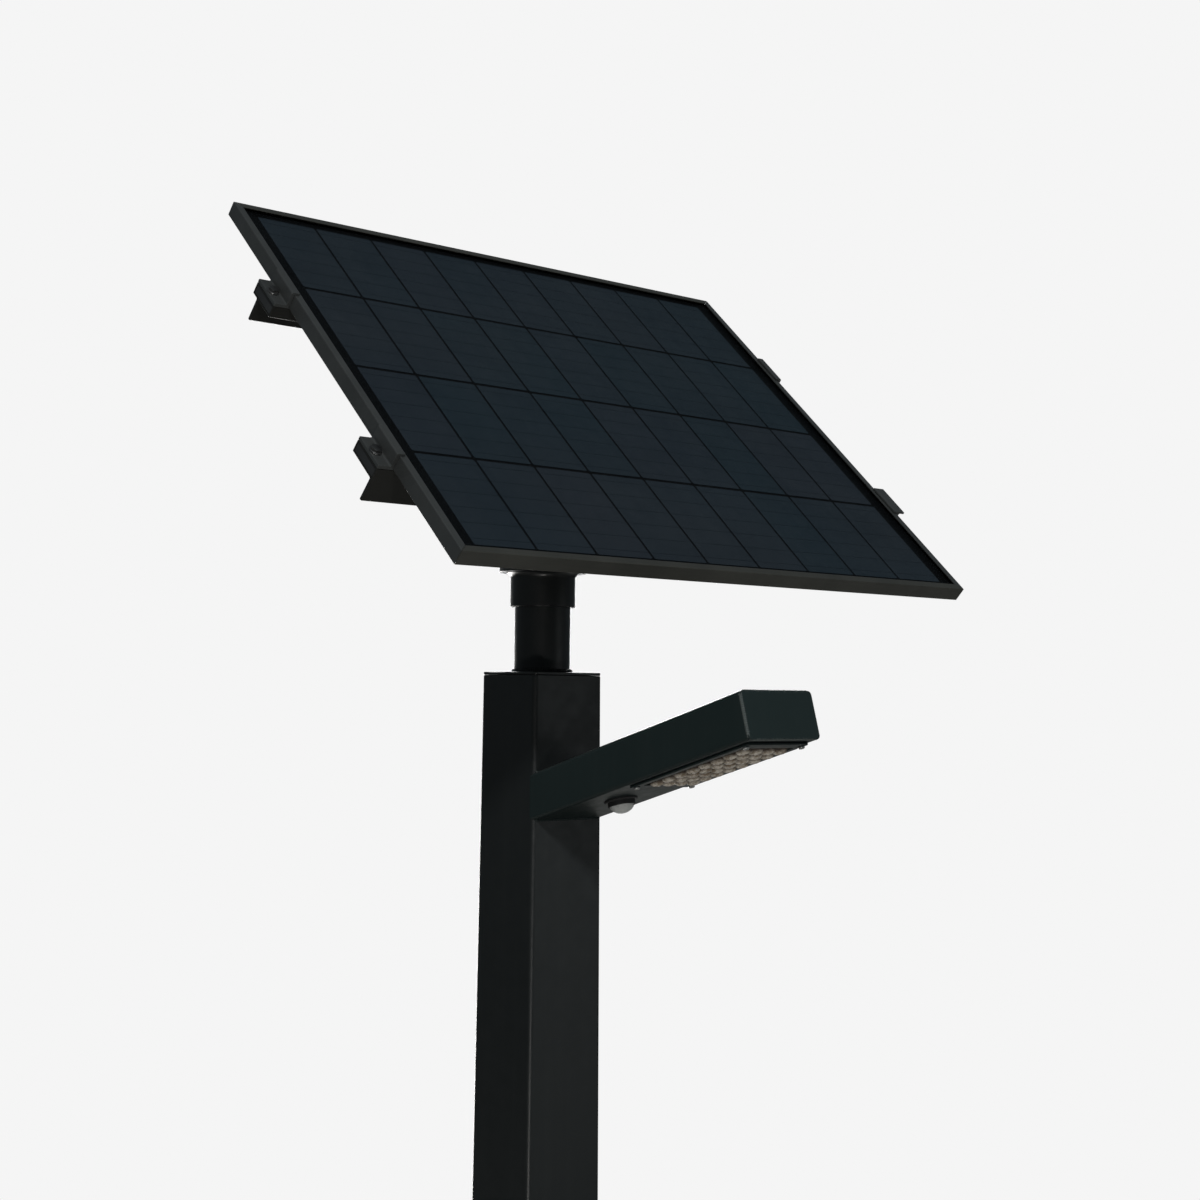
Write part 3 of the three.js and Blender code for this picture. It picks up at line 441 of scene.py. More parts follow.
# The rails are near black, with a warm cast that is a painted bounce of light from the ground.
BLACK_ANODISED = (anodised("black_anodised", -PANEL_TILT, "x", (0.24, 0.22, 0.19)), "anodised")
ZINC = (metal("dark_zinc", (0.10, 0.10, 0.102), (0.16, 0.16, 0.158), 0.40), "zinc")
GALVANISED = (metal("galvanised_sheet", (0.34, 0.35, 0.36), (0.46, 0.47, 0.47), 0.42, 120, 60), "zinc")
STAINLESS = (metal("stainless", (0.36, 0.36, 0.355), (0.48, 0.475, 0.465), 0.28, 300), "stainless")
ALUMINIUM = (metal("bare_aluminium", (0.44, 0.45, 0.46), (0.56, 0.565, 0.57), 0.44), "bare_aluminium")
RIBBON = (metal("cell_ribbon", (0.010, 0.0145, 0.019), (0.014, 0.019, 0.024), 0.5), "cells")
BLACK_PLASTIC = (moulded("black_plastic", (0.0115, 0.0118, 0.0122), (0.019, 0.0195, 0.020)), "black_plastic")
GREEN_PLASTIC = (moulded("terminal_green", (0.010, 0.085, 0.030), (0.016, 0.11, 0.042), 0.4), "black_plastic")
RED_PLASTIC = (moulded("terminal_red", (0.22, 0.012, 0.010), (0.30, 0.020, 0.016), 0.4), "black_plastic")
BOARD_WHITE = (moulded("solder_mask", (0.66, 0.66, 0.63), (0.76, 0.76, 0.73), 0.42, 200), "board")
BACK_SHEET = (
    moulded("back_sheet_film", (0.0016, 0.0017, 0.0020), (0.0026, 0.0027, 0.0031), 0.6, shine=0.06),
    "back_sheet",
)
RUBBER = (rubber(), "rubber")
CELL = (solar_cell(), "cells")
GLASS = (panel_glass(), "panel_glass")
LENS = (lens_plastic(), "lens")
SENSOR_LENS = (sensor_plastic(), "dome")
WEBBING = (webbing(), "strap")
SHRINK_WRAP = (shrink_wrap(), "battery")
PHOSPHOR = (phosphor(), "lens")

# ---------------------------------------------------------------- outlines


def rounded(points, radius, steps=4):
    """A closed outline with rounded corners. The radius is one number, or one for each corner."""
    radii = radius if isinstance(radius, (list, tuple)) else [radius] * len(points)
    made = []
    for i, r in enumerate(radii):
        corner = Vector(points[i])
        back = Vector(points[i - 1]) - corner
        on = Vector(points[(i + 1) % len(points)]) - corner
        half = back.angle(on) / 2
        if r <= 0 or half > 1.55:
            made.append(corner)
            continue
        reach = min(r / math.tan(half), 0.49 * back.length, 0.49 * on.length)
        used = reach * math.tan(half)
        start = corner + back.normalized() * reach
        end = corner + on.normalized() * reach
        centre = corner + (back.normalized() + on.normalized()).normalized() * (used / math.sin(half))
        first = math.atan2(start.y - centre.y, start.x - centre.x)
        last = math.atan2(end.y - centre.y, end.x - centre.x)
        sweep = (last - first + math.pi) % (2 * math.pi) - math.pi
        for k in range(steps + 1):
            angle = first + sweep * k / steps
            made.append(centre + used * Vector((math.cos(angle), math.sin(angle))))
    return made


def rectangle(x0, y0, x1, y1, radius=0.0, steps=5):
    return rounded([(x0, y0), (x1, y0), (x1, y1), (x0, y1)], radius, steps)


def centred(x, y, half_x, half_y, radius=0.0, steps=5):
    return rectangle(x - half_x, y - half_y, x + half_x, y + half_y, radius, steps)


def around(low, high, plane, radius=0.0, steps=5, inset=0.0):
    """A box's outline in a plane such as "xy", drawn in by an inset."""
    a, b = ("xyz".index(letter) for letter in plane)
    return rectangle(low[a] + inset, low[b] + inset, high[a] - inset, high[b] - inset, radius, steps)


def arc(x, y, radius, start, end, count):
    """Points along an arc, in degrees."""
    turns = (math.radians(start + (end - start) * k / count) for k in range(count + 1))
    return [Vector((x + radius * math.cos(turn), y + radius * math.sin(turn))) for turn in turns]


def circle(x, y, radius, count=40):
    return arc(x, y, radius, 0, 360, count)[:-1]


def raised(loop, z):
    return [Vector((p.x, p.y, z)) for p in loop]


def signed_area(loop):
    return sum(a.x * b.y - b.x * a.y for a, b in zip(loop, loop[1:] + loop[:1])) / 2


def drawn_in(loop, distance):
    """The outline moved to its left, with mitred corners."""
    if distance == 0:
        return loop
    made = []
    for i, point in enumerate(loop):
        before = (point - loop[i - 1]).normalized()
        after = (loop[(i + 1) % len(loop)] - point).normalized()
        first = Vector((-before.y, before.x))
        bisector = first + Vector((-after.y, after.x))
        made.append(point + bisector * (distance / max(bisector.dot(first), 0.25)))
    return made


def quarter(steps, count=None):
    """Angles from 0 to 90 degrees, the first ones only when a count is given."""
    return [math.pi / 2 * k / steps for k in range(steps + 1 if count is None else count)]


# ---------------------------------------------------------------- solids


def skin(bm, rings, closed=False):
    """Faces between each ring and the next, and from the last ring to the first when closed."""
    for below, above in zip(rings, rings[1:] + (rings[:1] if closed else [])):
        count = len(below)
        for i in range(count):
            j = (i + 1) % count
            bm.faces.new((below[i], below[j], above[j], above[i]))


def plate(loops, low, high, edge=0.5, steps=2):
    """An outline with holes, extruded from low to high, with every rim rounded."""
    bm = bmesh.new()
    levels = [(0.0, low)]
    if edge > 0:
        levels = [(edge * (1 - math.sin(a)), low + edge * (1 - math.cos(a))) for a in quarter(steps)]
    levels += [(inset, low + high - z) for inset, z in reversed(levels)]
    caps = [[], []]
    for index, loop in enumerate(loops):
        loop = [Vector(p) for p in loop]
        if (signed_area(loop) > 0) != (index == 0):
            loop.reverse()
        rings = [[bm.verts.new((p.x, p.y, z)) for p in drawn_in(loop, inset)] for inset, z in levels]
        skin(bm, rings)
        for cap, ring in zip(caps, (rings[0], rings[-1])):
            cap += [bm.edges.get((a, b)) for a, b in zip(ring, ring[1:] + ring[:1])]
    for cap in caps:
        bmesh.ops.triangle_fill(bm, use_beauty=True, use_dissolve=False, edges=cap)
    return bm


TO_X = Matrix(((0, 0, 1, 0), (1, 0, 0, 0), (0, 1, 0, 0), (0, 0, 0, 1)))     # drawn in y and z
TO_Y = Matrix(((1, 0, 0, 0), (0, 0, -1, 0), (0, 1, 0, 0), (0, 0, 0, 1)))    # drawn in x and z


def plate_x(loops, x0, x1, edge=0.5, steps=2):
    bm = plate(loops, x0, x1, edge, steps)
    bm.transform(TO_X)
    return bm


def plate_y(loops, y0, y1, edge=0.5, steps=2):
    bm = plate(loops, -y1, -y0, edge, steps)
    bm.transform(TO_Y)
    return bm


def block(low, high, radius=1, edge=0.5):
    """A box with rounded upright corners and softer rims."""
    return plate([around(low, high, "xy", radius)], low[2], high[2], edge)


def turned(rings, count=48, closed=False):
    """Rings about Z, one above the other: each is (radius, height), and either may be a function of
    the angle. Both ends are capped or, when closed, joined to each other."""
    bm = bmesh.new()
    made = []
    for radius, height in rings:
        ring = []
        for k in range(count):
            angle = 2 * math.pi * k / count
            r = radius(angle) if callable(radius) else radius
            z = height(angle) if callable(height) else height
            ring.append(bm.verts.new((r * math.cos(angle), r * math.sin(angle), z)))
        made.append(ring)
    skin(bm, made, closed)
    if closed:
        bmesh.ops.remove_doubles(bm, verts=bm.verts, dist=0.001)
    else:
        bm.faces.new(reversed(made[0]))
        bm.faces.new(made[-1])
    return bm


def washer_like(inner, outer, low, high, radius):
    """A turned ring with a rounded rectangular section."""
    return turned(
        rounded([(inner, low), (outer, low), (outer, high), (inner, high)], radius, 3), 96, closed=True,
    )


def hexagon(corner):
    """A hexagon's reach at each angle, from its corner radius."""
    flat = corner * math.cos(math.pi / 6)
    return lambda angle: flat / math.cos(angle % (math.pi / 3) - math.pi / 6)


def hex_rings(corner, low, high, low_cut=False, high_cut=True):
    """A hexagonal head or nut, its corners cut back as by a turned face."""
    reach = hexagon(corner)
    face = corner * math.cos(math.pi / 6) * 0.96
    fall = math.tan(math.radians(28))
    below = [(face, low), (reach, lambda angle: low + (reach(angle) - face) * fall)]
    above = [(reach, lambda angle: high - (reach(angle) - face) * fall), (face, high)]
    return (below if low_cut else [(reach, low)]) + (above if high_cut else [(reach, high)])


def thread_rings(radius, low, high, pitch):
    turns = max(1, int(abs(high - low) / pitch))
    step = (high - low) / turns
    rings = []
    for k in range(turns):
        rings += [(radius, low + step * k), (radius - 0.5 * pitch, low + step * (k + 0.5))]
    return rings + [(radius, high)]


def button_rings(radius, seat, top, socket, depth):
    """A domed screw head with a hexagonal socket. It rises from seat to top."""
    rise = top - seat
    inner = socket * 1.18
    rings = [(radius * 0.96, seat), (radius, seat + rise * 0.12), (radius, seat + rise * 0.3)]
    rings += [
        (inner + (radius - inner) * math.cos(a), seat + rise * 0.3 + rise * 0.7 * math.sin(a))
        for a in quarter(5, 5)[1:]
    ]
    return rings + [(inner, top), (hexagon(socket), top - rise * 0.05), (hexagon(socket), top - depth)]


def merge(bm, other, matrix=Matrix()):
    """Adds another solid's mesh to bm."""
    other.transform(matrix)
    mesh = bpy.data.meshes.new("merged")
    other.to_mesh(mesh)
    other.free()
    bm.from_mesh(mesh)
    bpy.data.meshes.remove(mesh)
    return bm


def held(bm, name="held"):
    """An object made of bm, with its normals turned outwards."""
    bmesh.ops.recalc_face_normals(bm, faces=bm.faces)
    mesh = bpy.data.meshes.new(name)
    bm.to_mesh(mesh)
    bm.free()
    obj = bpy.data.objects.new(name, mesh)
    SCENE.collection.objects.link(obj)
    return obj


def combine(bm, tools, operation="DIFFERENCE"):
    """bm with each tool cut from it, or joined to it."""
    target = held(bm)
    others = [held(tool) for tool in tools]
    for other in others:
        modifier = target.modifiers.new("tool", "BOOLEAN")
        modifier.object = other
        modifier.operation = operation
        modifier.solver = "EXACT"
    bpy.context.view_layer.update()
    graph = bpy.context.evaluated_depsgraph_get()
    mesh = bpy.data.meshes.new_from_object(target.evaluated_get(graph))
    made = bmesh.new()
    made.from_mesh(mesh)
    bpy.data.meshes.remove(mesh)
    for obj in [target, *others]:
        data = obj.data
        bpy.data.objects.remove(obj)
        bpy.data.meshes.remove(data)
    return made


BEAD_PITCH = 2.6
BEAD_CUTS = 4
BEAD_SIDES = 8


def bead(path, radius, seed, closed=True):
    """A weld bead along a path, with the ripples that its puddles leave."""
    draw = random.Random(seed)
    points = []
    for i in range(len(path) if closed else len(path) - 1):
        start, end = path[i], path[(i + 1) % len(path)]
        cuts = max(1, round((end - start).length / (BEAD_PITCH / BEAD_CUTS)))
        points += [start.lerp(end, k / cuts) for k in range(cuts)]
    if not closed:
        points.append(path[-1])
    bm = bmesh.new()
    rings = []
    total = len(points)
    for i, point in enumerate(points):
        before = points[i - 1] if closed or i else point
        after = points[(i + 1) % total] if closed or i < total - 1 else point
        along = (after - before).normalized()
        side = along.cross(Vector((0, 0, 1)))
        side = side.normalized() if side.length > 0.05 else along.cross(Vector((0, 1, 0))).normalized()
        up = side.cross(along)
        size = radius * (1 + 0.10 * math.cos(2 * math.pi * i / BEAD_CUTS) + draw.uniform(-0.05, 0.05))
        if not closed:
            size *= min(1, 0.35 + 0.3 * min(i, total - 1 - i))
        rings.append([
            bm.verts.new(point + size * (p.x * side + p.y * up)) for p in circle(0, 0, 1, BEAD_SIDES)
        ])
    skin(bm, rings, closed)
    if not closed:
        bm.faces.new(rings[0])
        bm.faces.new(rings[-1])
    return bm


# ---------------------------------------------------------------- pieces


def soften(obj, width):
    rim = obj.modifiers.new("rims", "BEVEL")
    rim.width = width * MM
    rim.segments = 2
    rim.limit_method = "ANGLE"
    rim.angle_limit = math.radians(40)


def piece(name, bm, finish, replaces=(), place=Matrix(), body="pole", frame=Matrix(), bevel=0, sharp=35):
    """A finished piece on its body: drawn in millimetres, put in place, then set in its frame."""
    bm.transform(frame @ Matrix.Scale(MM, 4) @ place)
    obj = held(bm, name)
    material, slot = finish
    obj.data.materials.append(material)
    obj.data.shade_smooth()
    obj.data.set_sharp_from_angle(angle=math.radians(sharp))
    if bevel:
        soften(obj, bevel)
    obj.modifiers.new("normals", "WEIGHTED_NORMAL").keep_sharp = True
    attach(obj, body)
    if replaces:
        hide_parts(*replaces)


def keep(node, finish, bevel):
    """A CAD node that stays: it gets its material and softer edges."""
    obj = NODES[node]
    obj.data.materials.clear()
    obj.data.materials.append(finish[0])
    obj.modifiers.new("weld", "WELD").merge_threshold = 1e-5
    soften(obj, bevel)


def box(node):
    """A node's lowest and highest corners."""
    return [Vector(corner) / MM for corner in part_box(node)]


def local_box(node, place):
    """A node's lowest and highest corners in a frame of its own."""
    inverse = place.inverted()
    points = [inverse @ v.co for v in NODES[node].data.vertices]
    return [Vector([pick(p[i] for p in points) for i in range(3)]) / MM for pick in (min, max)]


def near_and_far(low, high):
    """How far a box's two sides lie from the middle plane, the nearer side first."""
    return sorted((abs(low.x), abs(high.x)))


def widest(node, z, slack=0.6):
    """A turned node's radius at a height."""
    points = (v.co / MM for v in NODES[node].data.vertices)
    return max(math.hypot(p.x, p.y) for p in points if abs(p.z - z) < slack)


QUARTER_TURN = math.pi / 2
TURN_TO_X = Matrix.Rotation(QUARTER_TURN, 4, "Y")           # +Z becomes +X
TURN_TO_Y = Matrix.Rotation(-QUARTER_TURN, 4, "X")          # +Z becomes +Y
TURN_TO_MINUS_Y = Matrix.Rotation(QUARTER_TURN, 4, "X")     # +Z becomes -Y
FLIP = Matrix.Rotation(math.pi, 4, "X")
HALF_TURN = Matrix.Rotation(math.pi, 4, "Z")


def at(x, y, z=0.0):
    return Matrix.Translation((x, y, z))


# ---------------------------------------------------------------- base plate and pole

WALL = 4
POLE_CORNER = 6.5
ANCHOR = {"pitch": 220, "radius": 12}
CABLE_SLOT = {"length": 70, "width": 30, "offset": 46, "corner": 3}
HAND_HOLE = {"half_width": 48, "half_height": 220, "corner": 15, "from": 50, "to": 100}

base_low, base_high = box("base_plate")
front_low, front_high = box("pole_wall_front")
cap_low, cap_high = box("pole_cap")
door_low, door_high = box("service_door")
POLE_FOOT, POLE_TOP = front_low.z, front_high.z


def pole_half(z):
    """Half the pole's width at a height."""
    share = (z - POLE_FOOT) / (cap_high.z - POLE_FOOT)
    return front_high.x + (cap_high.x - front_high.x) * share


def square(half, radius, steps=6):
    return centred(0, 0, half, half, radius, steps)


def pole_shaft():
    """The four walls as one folded and welded shaft."""
    rim = 0.8
    outer, inner = (0, POLE_CORNER), (WALL, POLE_CORNER - WALL)
    bm = bmesh.new()
    rings = []
    for z, inset, (wall, radius) in (
        (POLE_FOOT, 0, inner), (POLE_FOOT, 0, outer), (POLE_TOP - rim, 0, outer), (POLE_TOP, rim, outer),
        (POLE_TOP, 0, inner),
    ):
        rings.append([bm.verts.new((p.x, p.y, z)) for p in square(pole_half(z) - inset - wall, radius)])
    skin(bm, rings, closed=True)
    return bm


holes = [circle(sx * ANCHOR["pitch"] / 2, sy * ANCHOR["pitch"] / 2, ANCHOR["radius"])
         for sx in (-1, 1) for sy in (-1, 1)]
slots = [centred(0, side * CABLE_SLOT["offset"], CABLE_SLOT["length"] / 2, CABLE_SLOT["width"] / 2,
                 CABLE_SLOT["corner"]) for side in (-1, 1)]
foot = plate([square(base_high.x, 12, 8), *holes, *slots], base_low.z, base_high.z, 1.2)
piece("base_plate_detail", foot, COAT, ["base_plate"])

outlines = [centred(0, (door_low.z + door_high.z) / 2, HAND_HOLE["half_width"], HAND_HOLE["half_height"],
                    HAND_HOLE["corner"], 8)]
for level in ("lower", "upper"):
    low, high = box(f"door_screw_{level}")
    outlines.append(circle((low.x + high.x) / 2, (low.z + high.z) / 2, 4.2, 24))
tools = [plate_y([outline], HAND_HOLE["from"], HAND_HOLE["to"], 0) for outline in outlines]
walls = [f"pole_wall_{side}" for side in ("front", "rear", "left", "right")]
piece("pole_shaft", combine(pole_shaft(), tools), COAT, walls)
top_plate = plate([square(cap_high.x, POLE_CORNER), circle(0, 0, 25, 48)], cap_low.z, cap_high.z, 0.9)
piece("pole_top_plate", top_plate, COAT, ["pole_cap"])
foot_path = raised(square(pole_half(POLE_FOOT) + 1.2, 8, 8), base_high.z + 2.0)
piece("base_weld", bead(foot_path, 4.6, 3), COAT)

# ---------------------------------------------------------------- spigot and swivel head

head_piece = partial(piece, body="swivel_head")
spigot_low, spigot_high = box("spigot")
collar_low, collar_high = box("swivel_collar")
plate_low, plate_high = box("head_plate")
SPIGOT_RADIUS = widest("spigot", spigot_high.z)
COLLAR_RADIUS = widest("swivel_collar", collar_low.z)
COLLAR_BORE = 38.6
HEAD_HOLE = 15

tube = washer_like(SPIGOT_RADIUS - WALL, SPIGOT_RADIUS, spigot_low.z, spigot_high.z, 0.8)
piece("spigot_tube", tube, COAT, ["spigot"])
piece("spigot_weld", bead(raised(circle(0, 0, SPIGOT_RADIUS + 0.6, 96), spigot_low.z + 1.2), 2.8, 5), COAT)

flare = widest("swivel_collar", collar_high.z) - COLLAR_RADIUS
collar_profile = [
    (COLLAR_BORE, collar_low.z + 0.8), (COLLAR_BORE + 0.8, collar_low.z), (COLLAR_RADIUS - 1.2, collar_low.z),
    (COLLAR_RADIUS - 0.3, collar_low.z + 0.4), (COLLAR_RADIUS, collar_low.z + 1.3),
    *(
        (COLLAR_RADIUS + flare * (1 - math.cos(a)), collar_high.z - flare * (1 - math.sin(a)))
        for a in quarter(6)
    ),
    (COLLAR_BORE, collar_high.z),
]
low, high = box("set_screw")
screw_height = (low.z + high.z) / 2
screw_hole = plate_y([circle(0, screw_height, 5.4, 32)], SPIGOT_RADIUS, COLLAR_RADIUS + 10, 0)
collar = combine(turned(collar_profile, 96, closed=True), [screw_hole])
head_piece("swivel_collar_detail", collar, COAT, ["swivel_collar"])
grub = turned([
    (4.2, low.y), *thread_rings(5.0, low.y + 0.8, high.y - 0.6, 1.4), (4.4, high.y),
    (hexagon(2.8), high.y), (hexagon(2.8), high.y - 4),
])
head_piece("set_screw_detail", grub, STAINLESS, ["set_screw"], at(0, 0, screw_height) @ TURN_TO_Y)
disc = washer_like(HEAD_HOLE, plate_high.x, plate_low.z, plate_high.z, 1.0)
head_piece("head_plate_detail", disc, COAT, ["head_plate"])

# ---------------------------------------------------------------- yoke plates

TILT_JOINT = next(joint for joint in frame["joints"] if joint["name"] == "panel_tilt")
PIVOT_AT = Matrix.Translation(TILT_JOINT["pos_m"])
PIVOT_HOLE = 8.4
LOCK = {"radius": 60, "half_width": 6.6, "margin": 2.5}
YOKE = {"half": 42, "boss": 30, "quadrant": 76, "shoulder": -10, "heel": 20, "weld": 36}


def lock_slot():
    """The curved slot that a lock bolt runs in, a little longer than the tilt's range."""
    radius, half = LOCK["radius"], LOCK["half_width"]
    rest = 90 + math.degrees(PANEL_TILT)
    low, high = (rest + turn for turn in TILT_JOINT["range_deg"])
    low, high = low - LOCK["margin"], high + LOCK["margin"]
    first, last = (Matrix.Rotation(math.radians(a), 2) @ Vector((radius, 0)) for a in (low, high))
    loop = arc(0, 0, radius + half, low, high, 14)
    loop += arc(*last, half, high, high + 180, 8)[1:-1]
    loop += arc(0, 0, radius - half, high, low, 14)
    loop += arc(*first, half, low + 180, low + 360, 8)[1:-1]
    return loop


yoke_foot = local_box("yoke_right", PIVOT_AT)[0].z
yoke_outline = [(-YOKE["half"], yoke_foot), (YOKE["half"], yoke_foot), (YOKE["boss"], YOKE["shoulder"])]
yoke_outline += arc(0, 0, YOKE["boss"], 0, 70, 12)
yoke_outline += arc(0, 0, YOKE["quadrant"], 95, 160, 16)
yoke_outline.append((-YOKE["half"], yoke_foot + YOKE["heel"]))
for side, sign in (("left", -1), ("right", 1)):
    low, high = local_box(f"yoke_{side}", PIVOT_AT)
    yoke = plate_x([yoke_outline, circle(0, 0, PIVOT_HOLE), lock_slot()], low.x, high.x, 0.8)
    head_piece(f"yoke_{side}_detail", yoke, COAT, [f"yoke_{side}"], frame=PIVOT_AT)
    near, far = near_and_far(low, high)
    for where, x, out in (("outer", far, 1), ("inner", near, -1)):
        line = [Vector((sign * (x + out), y, plate_high.z + 1.2)) for y in (-YOKE["weld"], YOKE["weld"])]
        head_piece(f"yoke_weld_{side}_{where}", bead(line, 3.0, 20 + sign + out, closed=False), COAT)

# ---------------------------------------------------------------- solar panel

PANEL = PIVOT_AT @ Matrix.Rotation(PANEL_TILT, 4, "X")
panel_piece = partial(piece, body="solar_panel", frame=PANEL)
FRAME = {
    "wall": 2, "lip": 10, "lip_thick": 1.6, "shelf": 8, "shelf_top": 6.6, "foot": 24, "skin": 1.6,
}
DRAINS = (-285, -225, 225, 285)     # slots in the foot of each side member

bottom_low, bottom_high = local_box("frame_bottom", PANEL)
left_low, left_high = local_box("frame_left", PANEL)
PANEL_WIDTH, PANEL_HEIGHT = bottom_high.x - bottom_low.x, left_high.y - left_low.y
PANEL_FRONT, PANEL_BACK = bottom_high.z, bottom_low.z


def frame_profile():
    front, back = PANEL_FRONT, PANEL_BACK
    wall, skin_, lip, foot = FRAME["wall"], FRAME["skin"], FRAME["lip"], FRAME["foot"]
    ledge, shelf = FRAME["shelf"], front - FRAME["shelf_top"]
    under = front - FRAME["lip_thick"]
    points = [
        (0, back), (foot, back), (foot, back + skin_), (wall, back + skin_), (wall, shelf - skin_),
        (ledge, shelf - skin_), (ledge, shelf), (wall, shelf),
        (wall, under), (lip, under), (lip, front), (0, front),
    ]
    return rounded(points, [0.9, 0.5, 0.5, 0.4, 0.4, 0.4, 0.4, 0.4, 0.4, 0.4, 0.6, 1.0], 3)


def frame_member(length):
    """Its ends are mitred: each point stops short of the corner by its distance from the outer edge."""
    half = length / 2 - GAP / 2
    bm = plate([frame_profile()], -half, half, 0.25, 1)
    for vert in bm.verts:
        vert.co.z -= math.copysign(vert.co.x, vert.co.z)
    bm.transform(TO_X)
    return bm


for turns, side in enumerate(("bottom", "right", "top", "left")):
    upright = turns % 2
    length, across = (PANEL_HEIGHT, PANEL_WIDTH) if upright else (PANEL_WIDTH, PANEL_HEIGHT)
    member = frame_member(length)
    if upright:
        member = combine(member, [
            plate([centred(x, 13, 7, 4, 3.9, 6)], PANEL_BACK - 2, PANEL_BACK + 4, 0) for x in DRAINS
        ])
    spin = Matrix.Rotation(turns * QUARTER_TURN, 4, "Z") @ at(0, -across / 2)
    finish = ANODISED_V if upright else ANODISED_X_PAINTED_SHADE_AND_BOUNCE
    panel_piece(f"frame_{side}_profile", member, finish, [f"frame_{side}"], spin)

panel_piece("glass_pane", block(*local_box("front_glass", PANEL), 1.5), GLASS, ["front_glass"])
panel_piece("back_sheet_film", block(*local_box("back_sheet", PANEL), 1.5, 0.1), BACK_SHEET, ["back_sheet"])

cells_low, cells_high = local_box("cell_sheet", PANEL)
COLUMNS, ROWS = 9, 4
PITCH_X, PITCH_Y = (cells_high.x - cells_low.x) / COLUMNS, (cells_high.y - cells_low.y) / ROWS
CELL_GAP = (3.4, 4.8)
CELL_CUT = 1.6
BARS = 6


def cells():
    """Half-cut cells in one mesh, each with its own tone and a measure across its fingers."""
    bm = bmesh.new()
    own = bm.verts.layers.float.new("cell_tone")
    across = bm.verts.layers.float.new("cell_across")
    c = CELL_CUT
    for row in range(ROWS):
        for column in range(COLUMNS):
            x0 = cells_low.x + column * PITCH_X + CELL_GAP[0] / 2
            y0 = cells_low.y + row * PITCH_Y + CELL_GAP[1] / 2
            x1, y1 = x0 + PITCH_X - CELL_GAP[0], y0 + PITCH_Y - CELL_GAP[1]
            corners = [
                (x0 + c, y0), (x1 - c, y0), (x1, y0 + c), (x1, y1 - c),
                (x1 - c, y1), (x0 + c, y1), (x0, y1 - c), (x0, y0 + c),
            ]
            shade = RNG.random()
            rings = []
            for z in (cells_low.z + 0.1, cells_high.z - 0.12):
                made = [bm.verts.new((x, y, z)) for x, y in corners]
                for vert in made:
                    vert[own] = shade
                    vert[across] = vert.co.x
                rings.append(made)
            skin(bm, rings)
            bm.faces.new(reversed(rings[0]))
            bm.faces.new(rings[1])
    return bm


def ribbons():
    """Flat ribbons over the cells, across each row."""
    half, margin = 0.2, 3
    back, front = cells_high.z - 0.13, cells_high.z - 0.04
    bm = bmesh.new()
    for k in range(ROWS * BARS):
        y = cells_low.y + (k + 0.5) / BARS * PITCH_Y
        merge(bm, block(
            (cells_low.x + margin, y - half, back), (cells_high.x - margin, y + half, front), 0, 0,
        ))
    return bm


panel_piece("solar_cells", cells(), CELL, ["cell_sheet"])
panel_piece("cell_ribbons", ribbons(), RIBBON)

# Rails, with their end plugs
RAIL = {"wall": 2, "depth": 15.7, "web": 4, "plug": 11, "recess": 0.4}
for level, web in (("upper", 10), ("lower", -27)):
    low, high = local_box(f"rail_{level}", PANEL)
    middle, half = (low.y + high.y) / 2, (high.y - low.y) / 2
    back = high.z - RAIL["depth"]
    web_end = web + RAIL["web"]
    points, radii = [(-half, high.z)], [1.0]
    if web > 0:         # the lower rail's web carries on from its side
        points, radii = points + [(-half, back), (web, back)], radii + [1.0, 1.5]
    points += [(web, low.z), (web_end, low.z), (web_end, back), (half, back), (half, high.z)]
    outline = rounded([(y + middle, z) for y, z in points], radii + [1.2, 1.2, 1.5, 1.0, 1.0], 4)
    hollow = Vector((middle - half, back)), Vector((middle + half, high.z))
    inside = around(*hollow, "xy", 0.8, 3, RAIL["wall"])
    rail = plate_x([outline, inside], low.x, high.x, 0.3, 1)
    panel_piece(f"rail_{level}_profile", rail, BLACK_ANODISED, [f"rail_{level}"])
    for side, sign, end in (("left", -1, low.x), ("right", 1, high.x)):
        x0, x1 = sorted((end - sign * RAIL["recess"], end - sign * RAIL["plug"]))
        plug = plate_x([around(*hollow, "xy", 1.5, 4, RAIL["wall"] + GAP)], x0, x1, 0.6)
        panel_piece(f"rail_plug_{level}_{side}", plug, BLACK_PLASTIC)

# End clamps and their bolts
CLAMP = {"leg": 5, "lip": 6.5, "foot": 4.7, "ledge": 9}


def clamp_outline(end, foot_back, front, has_ledge):
    inner = PANEL_WIDTH / 2 + GAP
    outer = inner + CLAMP["leg"]
    tip = inner - CLAMP["lip"]
    lip_back = PANEL_FRONT + GAP
    foot_front = foot_back + CLAMP["foot"]
    points = [(end, foot_back), (end, foot_front), (outer, foot_front)]
    radii = [0.8, 0.8, 2.5]
    if has_ledge:
        edge = outer + CLAMP["ledge"]
        points += [(outer, lip_back), (edge, lip_back), (edge, front)]
        radii += [1.0, 0.8, 0.8]
    else:
        points.append((outer, front))
        radii.append(2.2)
    points += [(tip, front), (tip, lip_back), (inner, lip_back), (inner, foot_back)]
    return rounded(points, radii + [0.8, 0.8, 0.5, 0.8], 4)


def flange_bolt(seat, top, end, corner, shank):
    """A bolt from its threaded end up through its shank to its head's top."""
    flange = seat + 1.3
    rings = [(shank * 0.8, end), *thread_rings(shank, end + 0.6, seat - 8, 1.25)]
    rings += [(shank, seat), (corner * 1.09, seat), (corner * 1.12, seat + 0.4), (corner * 1.09, flange)]
    return turned(rings + hex_rings(corner, flange + 0.5, top))


